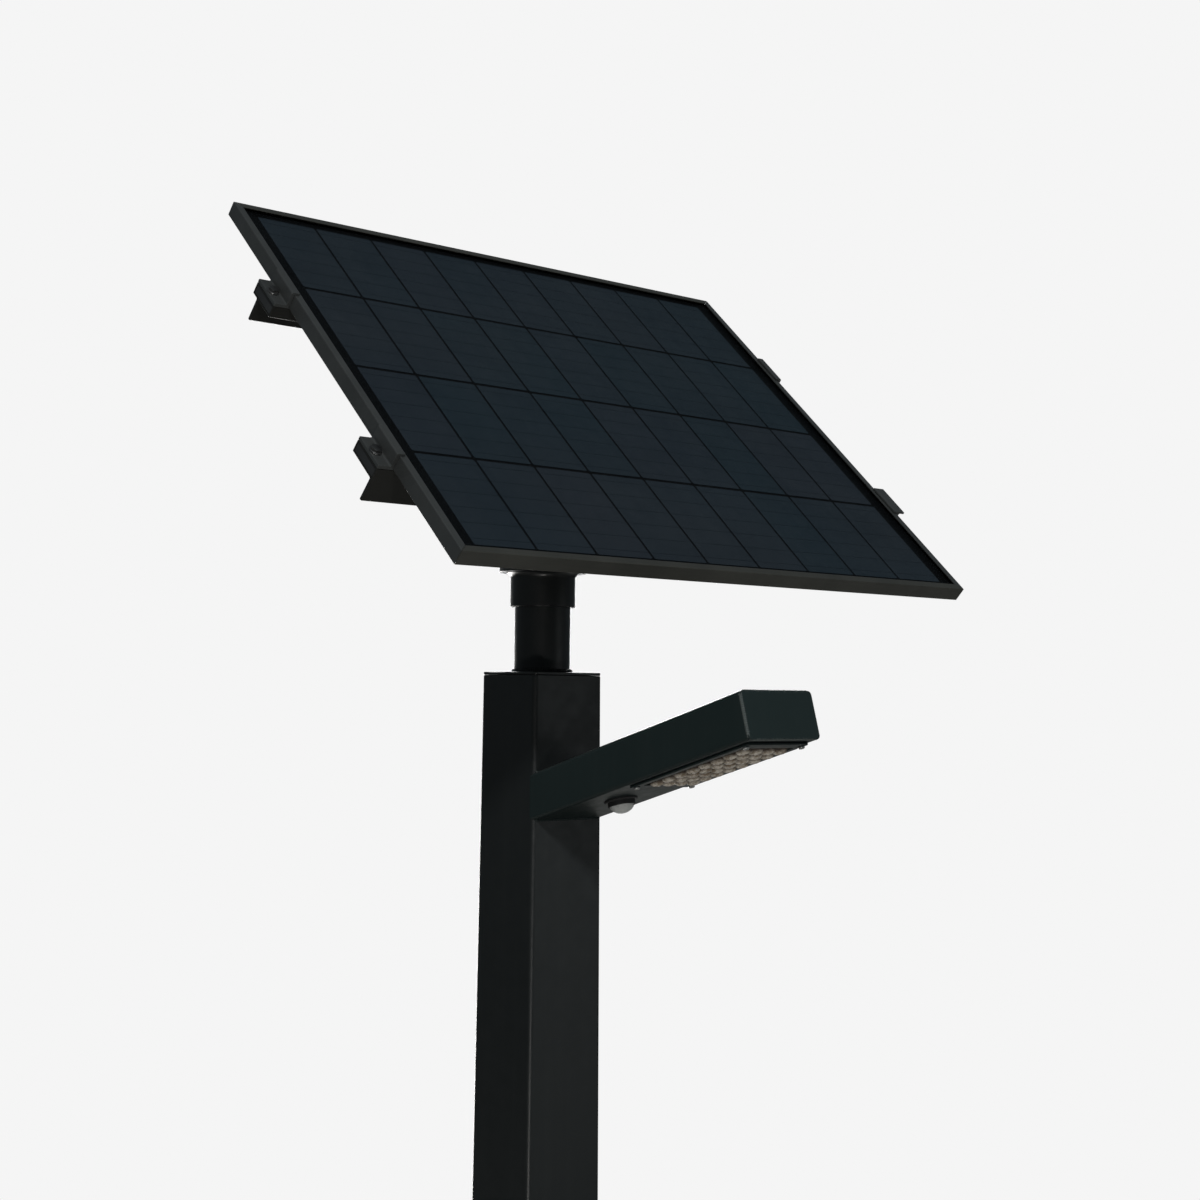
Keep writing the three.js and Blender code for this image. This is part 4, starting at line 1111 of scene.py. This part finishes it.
for level in ("upper", "lower"):
    for side, spin in (("right", Matrix()), ("left", HALF_TURN)):
        low, high = local_box(f"end_clamp_{level}_{side}", PANEL)
        middle, half = (low.y + high.y) / 2, (high.y - low.y) / 2
        outline = clamp_outline(
            near_and_far(low, high)[1], low.z, high.z, (level, side) == ("lower", "right"),
        )
        bar = plate_y([outline], -half, half)
        panel_piece(
            f"clamp_{level}_{side}", bar, ANODISED_V, [f"end_clamp_{level}_{side}"], at(0, middle) @ spin,
        )
        low, high = local_box(f"clamp_bolt_{level}_{side}", PANEL)
        bolt = flange_bolt(high.z - 5.3, high.z, low.z, 7.2, 4)
        place = at((low.x + high.x) / 2, (low.y + high.y) / 2)
        panel_piece(f"clamp_screw_{level}_{side}", bolt, ZINC, [f"clamp_bolt_{level}_{side}"], place)

# Tilt bracket: each side is an ear and a flange in one welded piece
EAR = {"boss": 28, "waist": 150, "skirt": 60, "thick": 5}
BRACKET_BOLTS = (-172, -146, 146, 160)
for side, sign in (("left", -1), ("right", 1)):
    low, high = local_box(f"tilt_bracket_{side}", PANEL)
    near, far = near_and_far(low, high)
    front = high.z
    back = front - EAR["thick"]
    skirt, waist, boss = PANEL_FRONT - EAR["skirt"], PANEL_FRONT - EAR["waist"], EAR["boss"]
    outline = [
        (high.y, front), (low.y, front), (low.y, skirt), (-boss, waist), *arc(0, 0, boss, 180, 360, 20),
    ]
    outline += [(boss, waist), (high.y, skirt)]
    x0, x1 = sorted((sign * near, sign * (near + EAR["thick"])))
    ear = plate_x([outline, circle(0, 0, PIVOT_HOLE), circle(0, LOCK["radius"], 6.4, 32)], x0, x1, 0)
    flange = block((low.x, low.y, back), high, 0, 0)
    bolt_x = sign * ((near + far) / 2 + 3)
    slots = [plate([centred(bolt_x, y, 9, 4.5, 4.4, 6)], front - 9, front + 3, 0) for y in BRACKET_BOLTS]
    bracket = combine(combine(ear, [flange], "UNION"), slots)
    panel_piece(f"bracket_{side}", bracket, COAT, [f"tilt_bracket_{side}"], bevel=0.7)
    seat = -back
    head = seat + 1.6
    for number, y in enumerate(BRACKET_BOLTS, 1):
        bolt = turned([(4, seat - 9), (4, head), *hex_rings(7.5, head, head + 5.3)])
        washer = turned([(8.0, seat), (8.4, seat + 0.3), (8.4, seat + 1.3), (8.0, head)])
        panel_piece(f"bracket_bolt_{side}_{number}", merge(bolt, washer), ZINC, (), at(bolt_x, y) @ FLIP)

# Pivot bolt and lock bolts
PIVOT_BOLT = {"shank": 8, "corner": 13.8, "head": 10, "nut": 12, "stub": 2}
LOCK_BOLT = {"shank": 6, "corner": 10.3, "head": 8, "nut": 8, "stub": 1, "washer": 12}
low, high = local_box("pivot_bolt", PANEL)
shank, corner = PIVOT_BOLT["shank"], PIVOT_BOLT["corner"]
stub = low.x + PIVOT_BOLT["stub"]
nut_end, seat = stub + PIVOT_BOLT["nut"], high.x - PIVOT_BOLT["head"]
rings = [(shank * 0.82, low.x), *thread_rings(shank, low.x + 0.6, stub, 1.4)]
rings += hex_rings(corner, stub, nut_end, low_cut=True)
rings += [(shank, nut_end), (shank, seat), *hex_rings(corner, seat, high.x)]
panel_piece("pivot_bolt_detail", turned(rings), ZINC, ["pivot_bolt"], TURN_TO_X)
for side, spin in (("left", HALF_TURN), ("right", Matrix())):
    low, high = local_box(f"lock_bolt_{side}", PANEL)
    inner, outer = near_and_far(low, high)
    shank, corner, washer = LOCK_BOLT["shank"], LOCK_BOLT["corner"], LOCK_BOLT["washer"]
    nut = inner + LOCK_BOLT["stub"]
    base, seat = nut + LOCK_BOLT["nut"], outer - LOCK_BOLT["head"]
    rings = [
        (shank - 1, inner), (shank, inner + 0.8),
        *hex_rings(corner, nut, base, low_cut=True, high_cut=False),
    ]
    rings += [(washer - 0.2, base), (washer, base + 0.4), (washer, base + 2.6), (washer - 0.2, base + 3)]
    rings += [(shank, base + 3), (shank, seat), *hex_rings(corner, seat, outer)]
    place = at(0, (low.y + high.y) / 2, (low.z + high.z) / 2) @ spin @ TURN_TO_X
    panel_piece(f"lock_bolt_{side}_detail", turned(rings), ZINC, [f"lock_bolt_{side}"], place)

# Junction box with its lid, and two cable glands
JUNCTION = {"lid": 5, "lip": 2.5, "rib_end": 14, "ribs": (-30, -15, 0, 15, 30), "glands": (-36, 36)}
low, high = local_box("junction_box", PANEL)
lid_front = low.z + JUNCTION["lid"]
body = plate([around(low, high, "xy", 7, 6, 2)], lid_front, high.z, 0.8)
lip = plate([around(low, high, "xy", 8, 6)], high.z - JUNCTION["lip"], high.z, 0.6)
panel_piece("junction_box_base", combine(body, [lip], "UNION"), BLACK_PLASTIC, ["junction_box"])
lid = plate([around(low, high, "xy", 7.5, 6, 0.5)], low.z + 1, lid_front - 0.2, 1.4, 3)
rib_end = JUNCTION["rib_end"]
ribs = [block((x - 1, low.y + rib_end, low.z), (x + 1, high.y - rib_end, low.z + 1.6), 0.9, 0.4)
        for x in JUNCTION["ribs"]]
panel_piece("junction_box_lid", combine(lid, ribs, "UNION"), BLACK_PLASTIC)
for number, x in enumerate(JUNCTION["glands"], 1):
    gland = turned([
        (7.5, -2), (7.5, 2), (hexagon(9.5), 2), (hexagon(9.5), 7),
        (7.8, 7.4), (7.8, 12), (6.4, 16), (3.6, 17), (3.2, 13),
    ])
    place = at(x, low.y + 2, (lid_front + high.z) / 2) @ TURN_TO_MINUS_Y
    panel_piece(f"cable_gland_{number}", gland, BLACK_PLASTIC, (), place)

# ---------------------------------------------------------------- luminaire arm

board_normal = broad_normal("led_board", 2)
ARM = Matrix.Rotation(math.atan2(-board_normal.y, board_normal.z), 4, "X")
arm_piece = partial(piece, frame=ARM)
ARM_CORNER = 5.5
MODULE_HOLE = {"half": (50, 104.5), "corner": 4}
SENSOR_HOLE = 15

tube_low, _ = local_box("arm_tube", ARM)
end_low, end_high = local_box("arm_end_cap", ARM)
bezel_low, bezel_high = local_box("lens_bezel", ARM)
dome_low, dome_high = local_box("sensor_dome", ARM)
module_y = (bezel_low.y + bezel_high.y) / 2
sensor_y = (dome_low.y + dome_high.y) / 2
ARM_BOTTOM, ARM_TOP = end_low.z, end_high.z


def arm_section(inset=0.0, radius=ARM_CORNER):
    return around(end_low, end_high, "xz", radius, 6, inset)


def reach_of_pole(x, z, clear):
    """Where a line along the arm, at x and z in its section, meets the pole's front face."""
    start = ARM @ Vector((x, tube_low.y, z))
    along = ARM @ Vector((0, 1, 0))
    taper = (pole_half(0) - pole_half(1000)) / 1000
    past = max(0.0, abs(x) - (pole_half(start.z) - POLE_CORNER))
    round_off = POLE_CORNER - math.sqrt(max(0.0, POLE_CORNER ** 2 - past ** 2))
    gap = start.y + pole_half(start.z) + clear - round_off
    return tube_low.y - gap / (along.y - taper * along.z)


def arm_tube():
    """The open tube: its outer end is square and its inner end follows the pole's face."""
    bm = bmesh.new()
    rim = 0.6
    rings = []
    for inset, radius, end in (
        (0, ARM_CORNER, None), (0, ARM_CORNER, tube_low.y + rim), (rim, ARM_CORNER - rim, tube_low.y),
        (WALL, 1.5, tube_low.y), (WALL, 1.5, None),
    ):
        rings.append([
            bm.verts.new((p.x, reach_of_pole(p.x, p.y, 0) if end is None else end, p.y))
            for p in arm_section(inset, radius)
        ])
    skin(bm, rings, closed=True)
    return bm


openings = [
    centred(0, module_y, *MODULE_HOLE["half"], MODULE_HOLE["corner"]),
    circle(0, sensor_y, SENSOR_HOLE),
]
cutters = [plate([opening], ARM_BOTTOM - 5, ARM_BOTTOM + WALL + 1, 0) for opening in openings]
arm_piece("arm_beam", combine(arm_tube(), cutters), COAT_ARM, ["arm_tube"])
end_plate = plate_y([arm_section()], end_low.y, end_high.y, 1.6, 3)
arm_piece("arm_end_plate", end_plate, COAT_ARM, ["arm_end_cap"])
for name, z in (("lower", ARM_BOTTOM), ("upper", ARM_TOP)):
    root = [ARM @ Vector((x, reach_of_pole(x, z, 0.8), z)) for x in (-56, 0, 56)]
    piece(f"arm_weld_{name}", bead(root, 2.2, 9, closed=False), COAT_ARM)
# The end weld takes the much lighter coat: rubbed wear, and a painted highlight along the arm's end edge.
seam = [ARM @ Vector((p.x, tube_low.y - 1.4, p.y)) for p in arm_section(1.9)]
piece("arm_end_weld", bead(seam, 2.5, 13), COAT_WORN_AND_HIGHLIGHT)

# LED module
WINDOW = (42.5, 91.5)
screws = []
for number in range(1, 5):
    low, high = local_box(f"bezel_screw_{number}", ARM)
    screws.append(((low.x + high.x) / 2, (low.y + high.y) / 2, -low.z, -high.z))
bezel = plate([
    around(bezel_low, bezel_high, "xy", 6, 6), centred(0, module_y, *WINDOW, 4, 6),
    *(circle(x, y, 2.4, 24) for x, y, _, _ in screws),
], bezel_low.z, bezel_high.z, 1.1, 3)
arm_piece("module_bezel", bezel, COAT_ARM, ["lens_bezel"])
for number, (x, y, top, end) in enumerate(screws, 1):
    screw = turned([(1.6, end), (2.0, top - 3.0), *button_rings(4.2, top - 2.8, top, 1.9, 1.9)], 36)
    arm_piece(f"module_screw_{number}", screw, STAINLESS, [f"bezel_screw_{number}"], at(x, y) @ FLIP)

LED_ROWS, LED_COLUMNS = 4, 8
LED_PITCH = (20.6, 22.2)
LENS_REACH = (9.4, 9.9)
LENS_RISE, LENS_FACE, LENS_STEP = 6.4, 4.7, 1.4
DIMPLE, DIMPLE_SPREAD = 1.7, 0.3
DIE_RADIUS, DIE_RISE, PACKAGE_HALF, PACKAGE_RISE = 1.9, 0.7, 2.5, 0.9
led_spots = [
    ((row - (LED_ROWS - 1) / 2) * LED_PITCH[0], module_y + (column - (LED_COLUMNS - 1) / 2) * LED_PITCH[1])
    for row in range(LED_ROWS) for column in range(LED_COLUMNS)
]
lens_low, lens_high = local_box("lens_array", ARM)
board_low, board_high = local_box("led_board", ARM)


def lens_rise(x, y):
    """How far the lens sheet stands out: a squashed dome over each LED, with a dimple at its middle."""
    rise = 0.0
    for cx, cy in led_spots:
        r = math.hypot((x - cx) / LENS_REACH[0], (y - cy) / LENS_REACH[1])
        if r < 1:
            dimple = DIMPLE * math.exp(-(r / DIMPLE_SPREAD) ** 2)
            rise = max(rise, LENS_RISE * math.sqrt(1 - r * r) - dimple)
    return rise


def lens_sheet():
    half_x, half_y = WINDOW[0] - 0.5, WINDOW[1] - 0.5
    nx, ny = round(2 * half_x / LENS_STEP), round(2 * half_y / LENS_STEP)
    bm = bmesh.new()
    height = bm.verts.layers.float.new("lens_rise")
    grid = []
    for j in range(ny + 1):
        y = module_y - half_y + 2 * half_y * j / ny
        line = []
        for i in range(nx + 1):
            x = -half_x + 2 * half_x * i / nx
            rise = lens_rise(x, y)
            vert = bm.verts.new((x, y, lens_low.z + LENS_FACE - rise))
            vert[height] = rise / LENS_RISE
            line.append(vert)
        grid.append(line)
    for line, following in zip(grid, grid[1:]):
        for i in range(nx):
            bm.faces.new((line[i], following[i], following[i + 1], line[i + 1]))
    rim = grid[0] + [line[-1] for line in grid[1:]] + grid[-1][-2::-1] + [line[0] for line in grid[-2:0:-1]]
    upper = [bm.verts.new((v.co.x, v.co.y, lens_high.z)) for v in rim]
    skin(bm, [rim, upper])
    bm.faces.new(upper)
    return bm


arm_piece("lens_sheet", lens_sheet(), LENS, ["lens_array"], sharp=50)
arm_piece("led_circuit_board", block(board_low, board_high, 3, 0.15), BOARD_WHITE, ["led_board"])
chips, dies = bmesh.new(), bmesh.new()
die_foot = board_low.z - PACKAGE_RISE
for x, y in led_spots:
    package = plate([centred(x, y, PACKAGE_HALF, PACKAGE_HALF, 0.4)], die_foot, board_low.z - 0.02, 0.1)
    merge(chips, package)
    die = turned([(DIE_RADIUS * math.cos(a), die_foot - DIE_RISE * math.sin(a)) for a in quarter(5, 5)], 20)
    merge(dies, die, at(x, y))
arm_piece("led_packages", chips, BOARD_WHITE)
arm_piece("led_dies", dies, PHOSPHOR)
keep("heat_sink", ALUMINIUM, 0.3)
keep("led_driver", ALUMINIUM, 0.8)

# Motion sensor, drawn from its seat outwards
ring_low, ring_high = local_box("sensor_base", ARM)
SENSOR_AT = at(0, sensor_y) @ FLIP
FLANGE_RADIUS = (ring_high.y - ring_low.y) / 2
FLANGE_FACE = -ring_low.z
NECK = (dome_high.x - dome_low.x) / 2
DOME_RADIUS = NECK - 1.4
DOME_FOOT = FLANGE_FACE + 2.6
DOME_HEIGHT = -dome_low.z - DOME_FOOT
DOME_WALL = 1.4
DOME_BANDS = (20, 16, 12, 8, 6)     # lens segments in each ring of the dome
BAND_STEPS = 4


def grip(angle):
    """A flange edge with shallow finger grips."""
    return FLANGE_RADIUS - 0.5 * max(0.0, math.cos(12 * angle)) ** 4


def dome_ring(k):
    """One ring of the faceted dome: a groove ends each band, and lines part its segments."""
    steps = BAND_STEPS * len(DOME_BANDS)
    climb = QUARTER_TURN * k / steps * 0.985
    groove = 0.35 if k % BAND_STEPS == 0 and 0 < k < steps else 0.0
    segments = DOME_BANDS[min(len(DOME_BANDS) - 1, k // BAND_STEPS)]

    def reach(angle):
        line = max(0.0, math.cos(segments * angle)) ** 12
        return (DOME_RADIUS - groove - 0.3 * line) * math.cos(climb)

    return reach, DOME_FOOT + (DOME_HEIGHT - groove * 0.6) * math.sin(climb)


holder = turned([
    (13.4, -ring_high.z), (14, -ring_high.z + 0.6), (14, FLANGE_FACE - 2.7), (grip, FLANGE_FACE - 2.7),
    (grip, FLANGE_FACE - 1.2), (FLANGE_RADIUS - 1.6, FLANGE_FACE), (NECK, FLANGE_FACE),
    (NECK, FLANGE_FACE + 5.2), (NECK - 0.7, FLANGE_FACE + 5.9),
    (DOME_RADIUS + 0.2, FLANGE_FACE + 5.9), (DOME_RADIUS + 0.2, FLANGE_FACE + 2.4),
], 72)
arm_piece("sensor_holder", holder, BLACK_PLASTIC, ["sensor_base"], SENSOR_AT)
shell = [dome_ring(k) for k in range(BAND_STEPS * len(DOME_BANDS) + 1)]
shell += [
    ((DOME_RADIUS - DOME_WALL) * math.cos(a), DOME_FOOT + (DOME_HEIGHT - DOME_WALL) * math.sin(a))
    for a in reversed(quarter(8, 8))
]
arm_piece("sensor_lens_dome", turned(shell, 120, closed=True), SENSOR_LENS, ["sensor_dome"], SENSOR_AT)

# ---------------------------------------------------------------- service door

door_normal = broad_normal("service_door", 1)
DOOR = Matrix.Rotation(math.atan2(door_normal.z, door_normal.y), 4, "X")
door_piece = partial(piece, body="door", frame=DOOR)
SEAL_WIDTH = 5.5
PIN_RADIUS, PIN_BORE, POST_HEIGHT = 3, 3.4, 30

leaf_low, leaf_high = local_box("service_door", DOOR)
screw_boxes = [local_box(f"door_screw_{level}", DOOR) for level in ("upper", "lower")]
screw_centres = [((a.x + b.x) / 2, (a.z + b.z) / 2) for a, b in screw_boxes]
outlines = [around(leaf_low, leaf_high, "xz", 8, 8), *(circle(x, z, 3.4, 28) for x, z in screw_centres)]
door_piece("door_leaf", plate_y(outlines, leaf_low.y, leaf_high.y, 0.9, 3), COAT, ["service_door"])
seat = leaf_high.y + GAP
for level, (low, high), (x, z) in zip(("upper", "lower"), screw_boxes, screw_centres):
    rings = [(2.4, low.y), (3, low.y + 0.8), *thread_rings(3, low.y + 1.0, seat - 4, 1.0), (3, seat)]
    screw = turned(rings + button_rings(5.2, seat, high.y, 2.4, 2), 36)
    door_piece(
        f"door_screw_{level}_detail", screw, STAINLESS, [f"door_screw_{level}"], at(x, 0, z) @ TURN_TO_Y,
    )
low, high = local_box("door_gasket", DOOR)
outlines = [around(low, high, "xz", 20, 8), around(low, high, "xz", 14.5, 8, SEAL_WIDTH)]
door_piece("door_seal", plate_y(outlines, low.y, high.y, 0.8, 3), RUBBER, ["door_gasket"])


def barrel_rings(radius, low, high):
    return [(radius - 0.7, low), (radius, low + 0.7), (radius, high - 0.7), (radius - 0.7, high)]


for level in ("upper", "lower"):
    for kind, body in (("post", "pole"), ("sleeve", "door")):
        low, high = local_box(f"hinge_{kind}_{level}", DOOR)
        radius = (high.x - low.x) / 2
        if kind == "post":
            top = low.z + POST_HEIGHT
            pin = [(PIN_RADIUS, top), (PIN_RADIUS, high.z - 0.6), (PIN_RADIUS - 0.6, high.z)]
            barrel = turned(barrel_rings(radius, low.z, top) + pin, 40)
        else:
            top = high.z
            bore = [(0.0001, top), (0.0001, top - 3), (PIN_BORE, top - 3)]
            barrel = turned([(PIN_BORE, low.z), *barrel_rings(radius, low.z, top), *bore], 40, closed=True)
        place = at((low.x + high.x) / 2, (low.y + high.y) / 2)
        door_piece(f"hinge_{kind}_{level}_detail", barrel, COAT, [f"hinge_{kind}_{level}"], place, body=body)

# ---------------------------------------------------------------- battery compartment

TRAY_SHEET = 2
BATTERY = {"corner": 5, "lid": 16, "stud": 7, "stud_x": 26, "stud_y": 22}
STRAP = {"inside": 45.3, "thick": 1.4}
FINS, TERMINALS = 12, 6


def u_outline(low, high, inner, back, radii, steps):
    """A channel's section, open towards -Y: its inside reaches out to inner and up to back."""
    return rounded([
        (low.x, low.y), (-inner, low.y), (-inner, back), (inner, back), (inner, low.y), (high.x, low.y),
        (high.x, high.y), (low.x, high.y),
    ], radii, steps)


low, high = box("equipment_tray")
radii = [0.6, 0.6, 1.2, 1.2, 0.6, 0.6, 2.2, 2.2]
tray = u_outline(low, high, high.x - TRAY_SHEET, high.y - TRAY_SHEET, radii, 3)
piece("tray_sheet", plate([tray], low.z, high.z, 0.4), GALVANISED, ["equipment_tray"])

low, high = box("battery_pack")
outline = around(low, high, "xy", BATTERY["corner"], 6)
lid_foot, lid_top = high.z - BATTERY["lid"], high.z - BATTERY["stud"]
piece("battery_case", plate([outline], low.z, lid_foot - 0.6, 1.5, 3), SHRINK_WRAP, ["battery_pack"])
piece("battery_lid", plate([outline], lid_foot, lid_top, 1.2, 3), BLACK_PLASTIC)
for number, (sign, finish) in enumerate(((-1, RED_PLASTIC), (1, BLACK_PLASTIC)), 1):
    stud = turned([
        (8, lid_top), (8, lid_top + 2.5), (5.5, lid_top + 3), (5.5, high.z - 0.6), (4.9, high.z),
    ], 32)
    place = at(sign * BATTERY["stud_x"], high.y - BATTERY["stud_y"])
    piece(f"battery_terminal_{number}", stud, finish, (), place)

low, high = box("battery_strap")
radii = [0.3, 0.3, 3.5, 3.5, 0.3, 0.3, 5, 5]
strap = u_outline(low, high, STRAP["inside"], high.y - STRAP["thick"], radii, 5)
piece("strap_band", plate([strap], low.z, high.z, 0.35), WEBBING, ["battery_strap"])
middle = (low.z + high.z) / 2
windows = [centred(side * 7.5, middle, 5.5, 11.4, 1, 3) for side in (-1, 1)]
buckle = plate_y([centred(0, middle, 17, 15, 3), *windows], high.y + 0.1, high.y + 2.2, 0.7, 3)
piece("strap_buckle", buckle, (STAINLESS[0], "strap"))

low, high = box("charge_controller")
case = plate_y([around(low, high, "xz", 4, 6)], low.y, high.y - 5, 1.2, 3)
piece("controller_case", case, BLACK_PLASTIC, ["charge_controller"])


def spaced(count, margin):
    """Positions across the controller, at even steps between two margins."""
    return [low.x + margin + k * (high.x - low.x - 2 * margin) / (count - 1) for k in range(count)]


fins, terminals, heads = bmesh.new(), bmesh.new(), bmesh.new()
for x in spaced(FINS, 9):
    outline = rectangle(x - 1.1, low.z + 30, x + 1.1, high.z - 8, 0.5, 3)
    merge(fins, plate_y([outline], high.y - 5.6, high.y - 0.5, 0.4))
piece("controller_fins", fins, ALUMINIUM)
for x in spaced(TERMINALS, 14):
    outline = centred(x, low.z + 13, 4.6, 7, 0.8, 3)
    merge(terminals, plate_y([outline], high.y - 5.4, high.y - 1, 0.6))
    head = turned([(2.7, high.y - 1.2), (2.7, high.y - 0.4), (2.3, high.y - 0.1)], 20)
    merge(heads, head, at(x, 0, low.z + 13) @ TURN_TO_Y)
piece("controller_terminals", terminals, GREEN_PLASTIC)
piece("controller_screws", heads, STAINLESS)
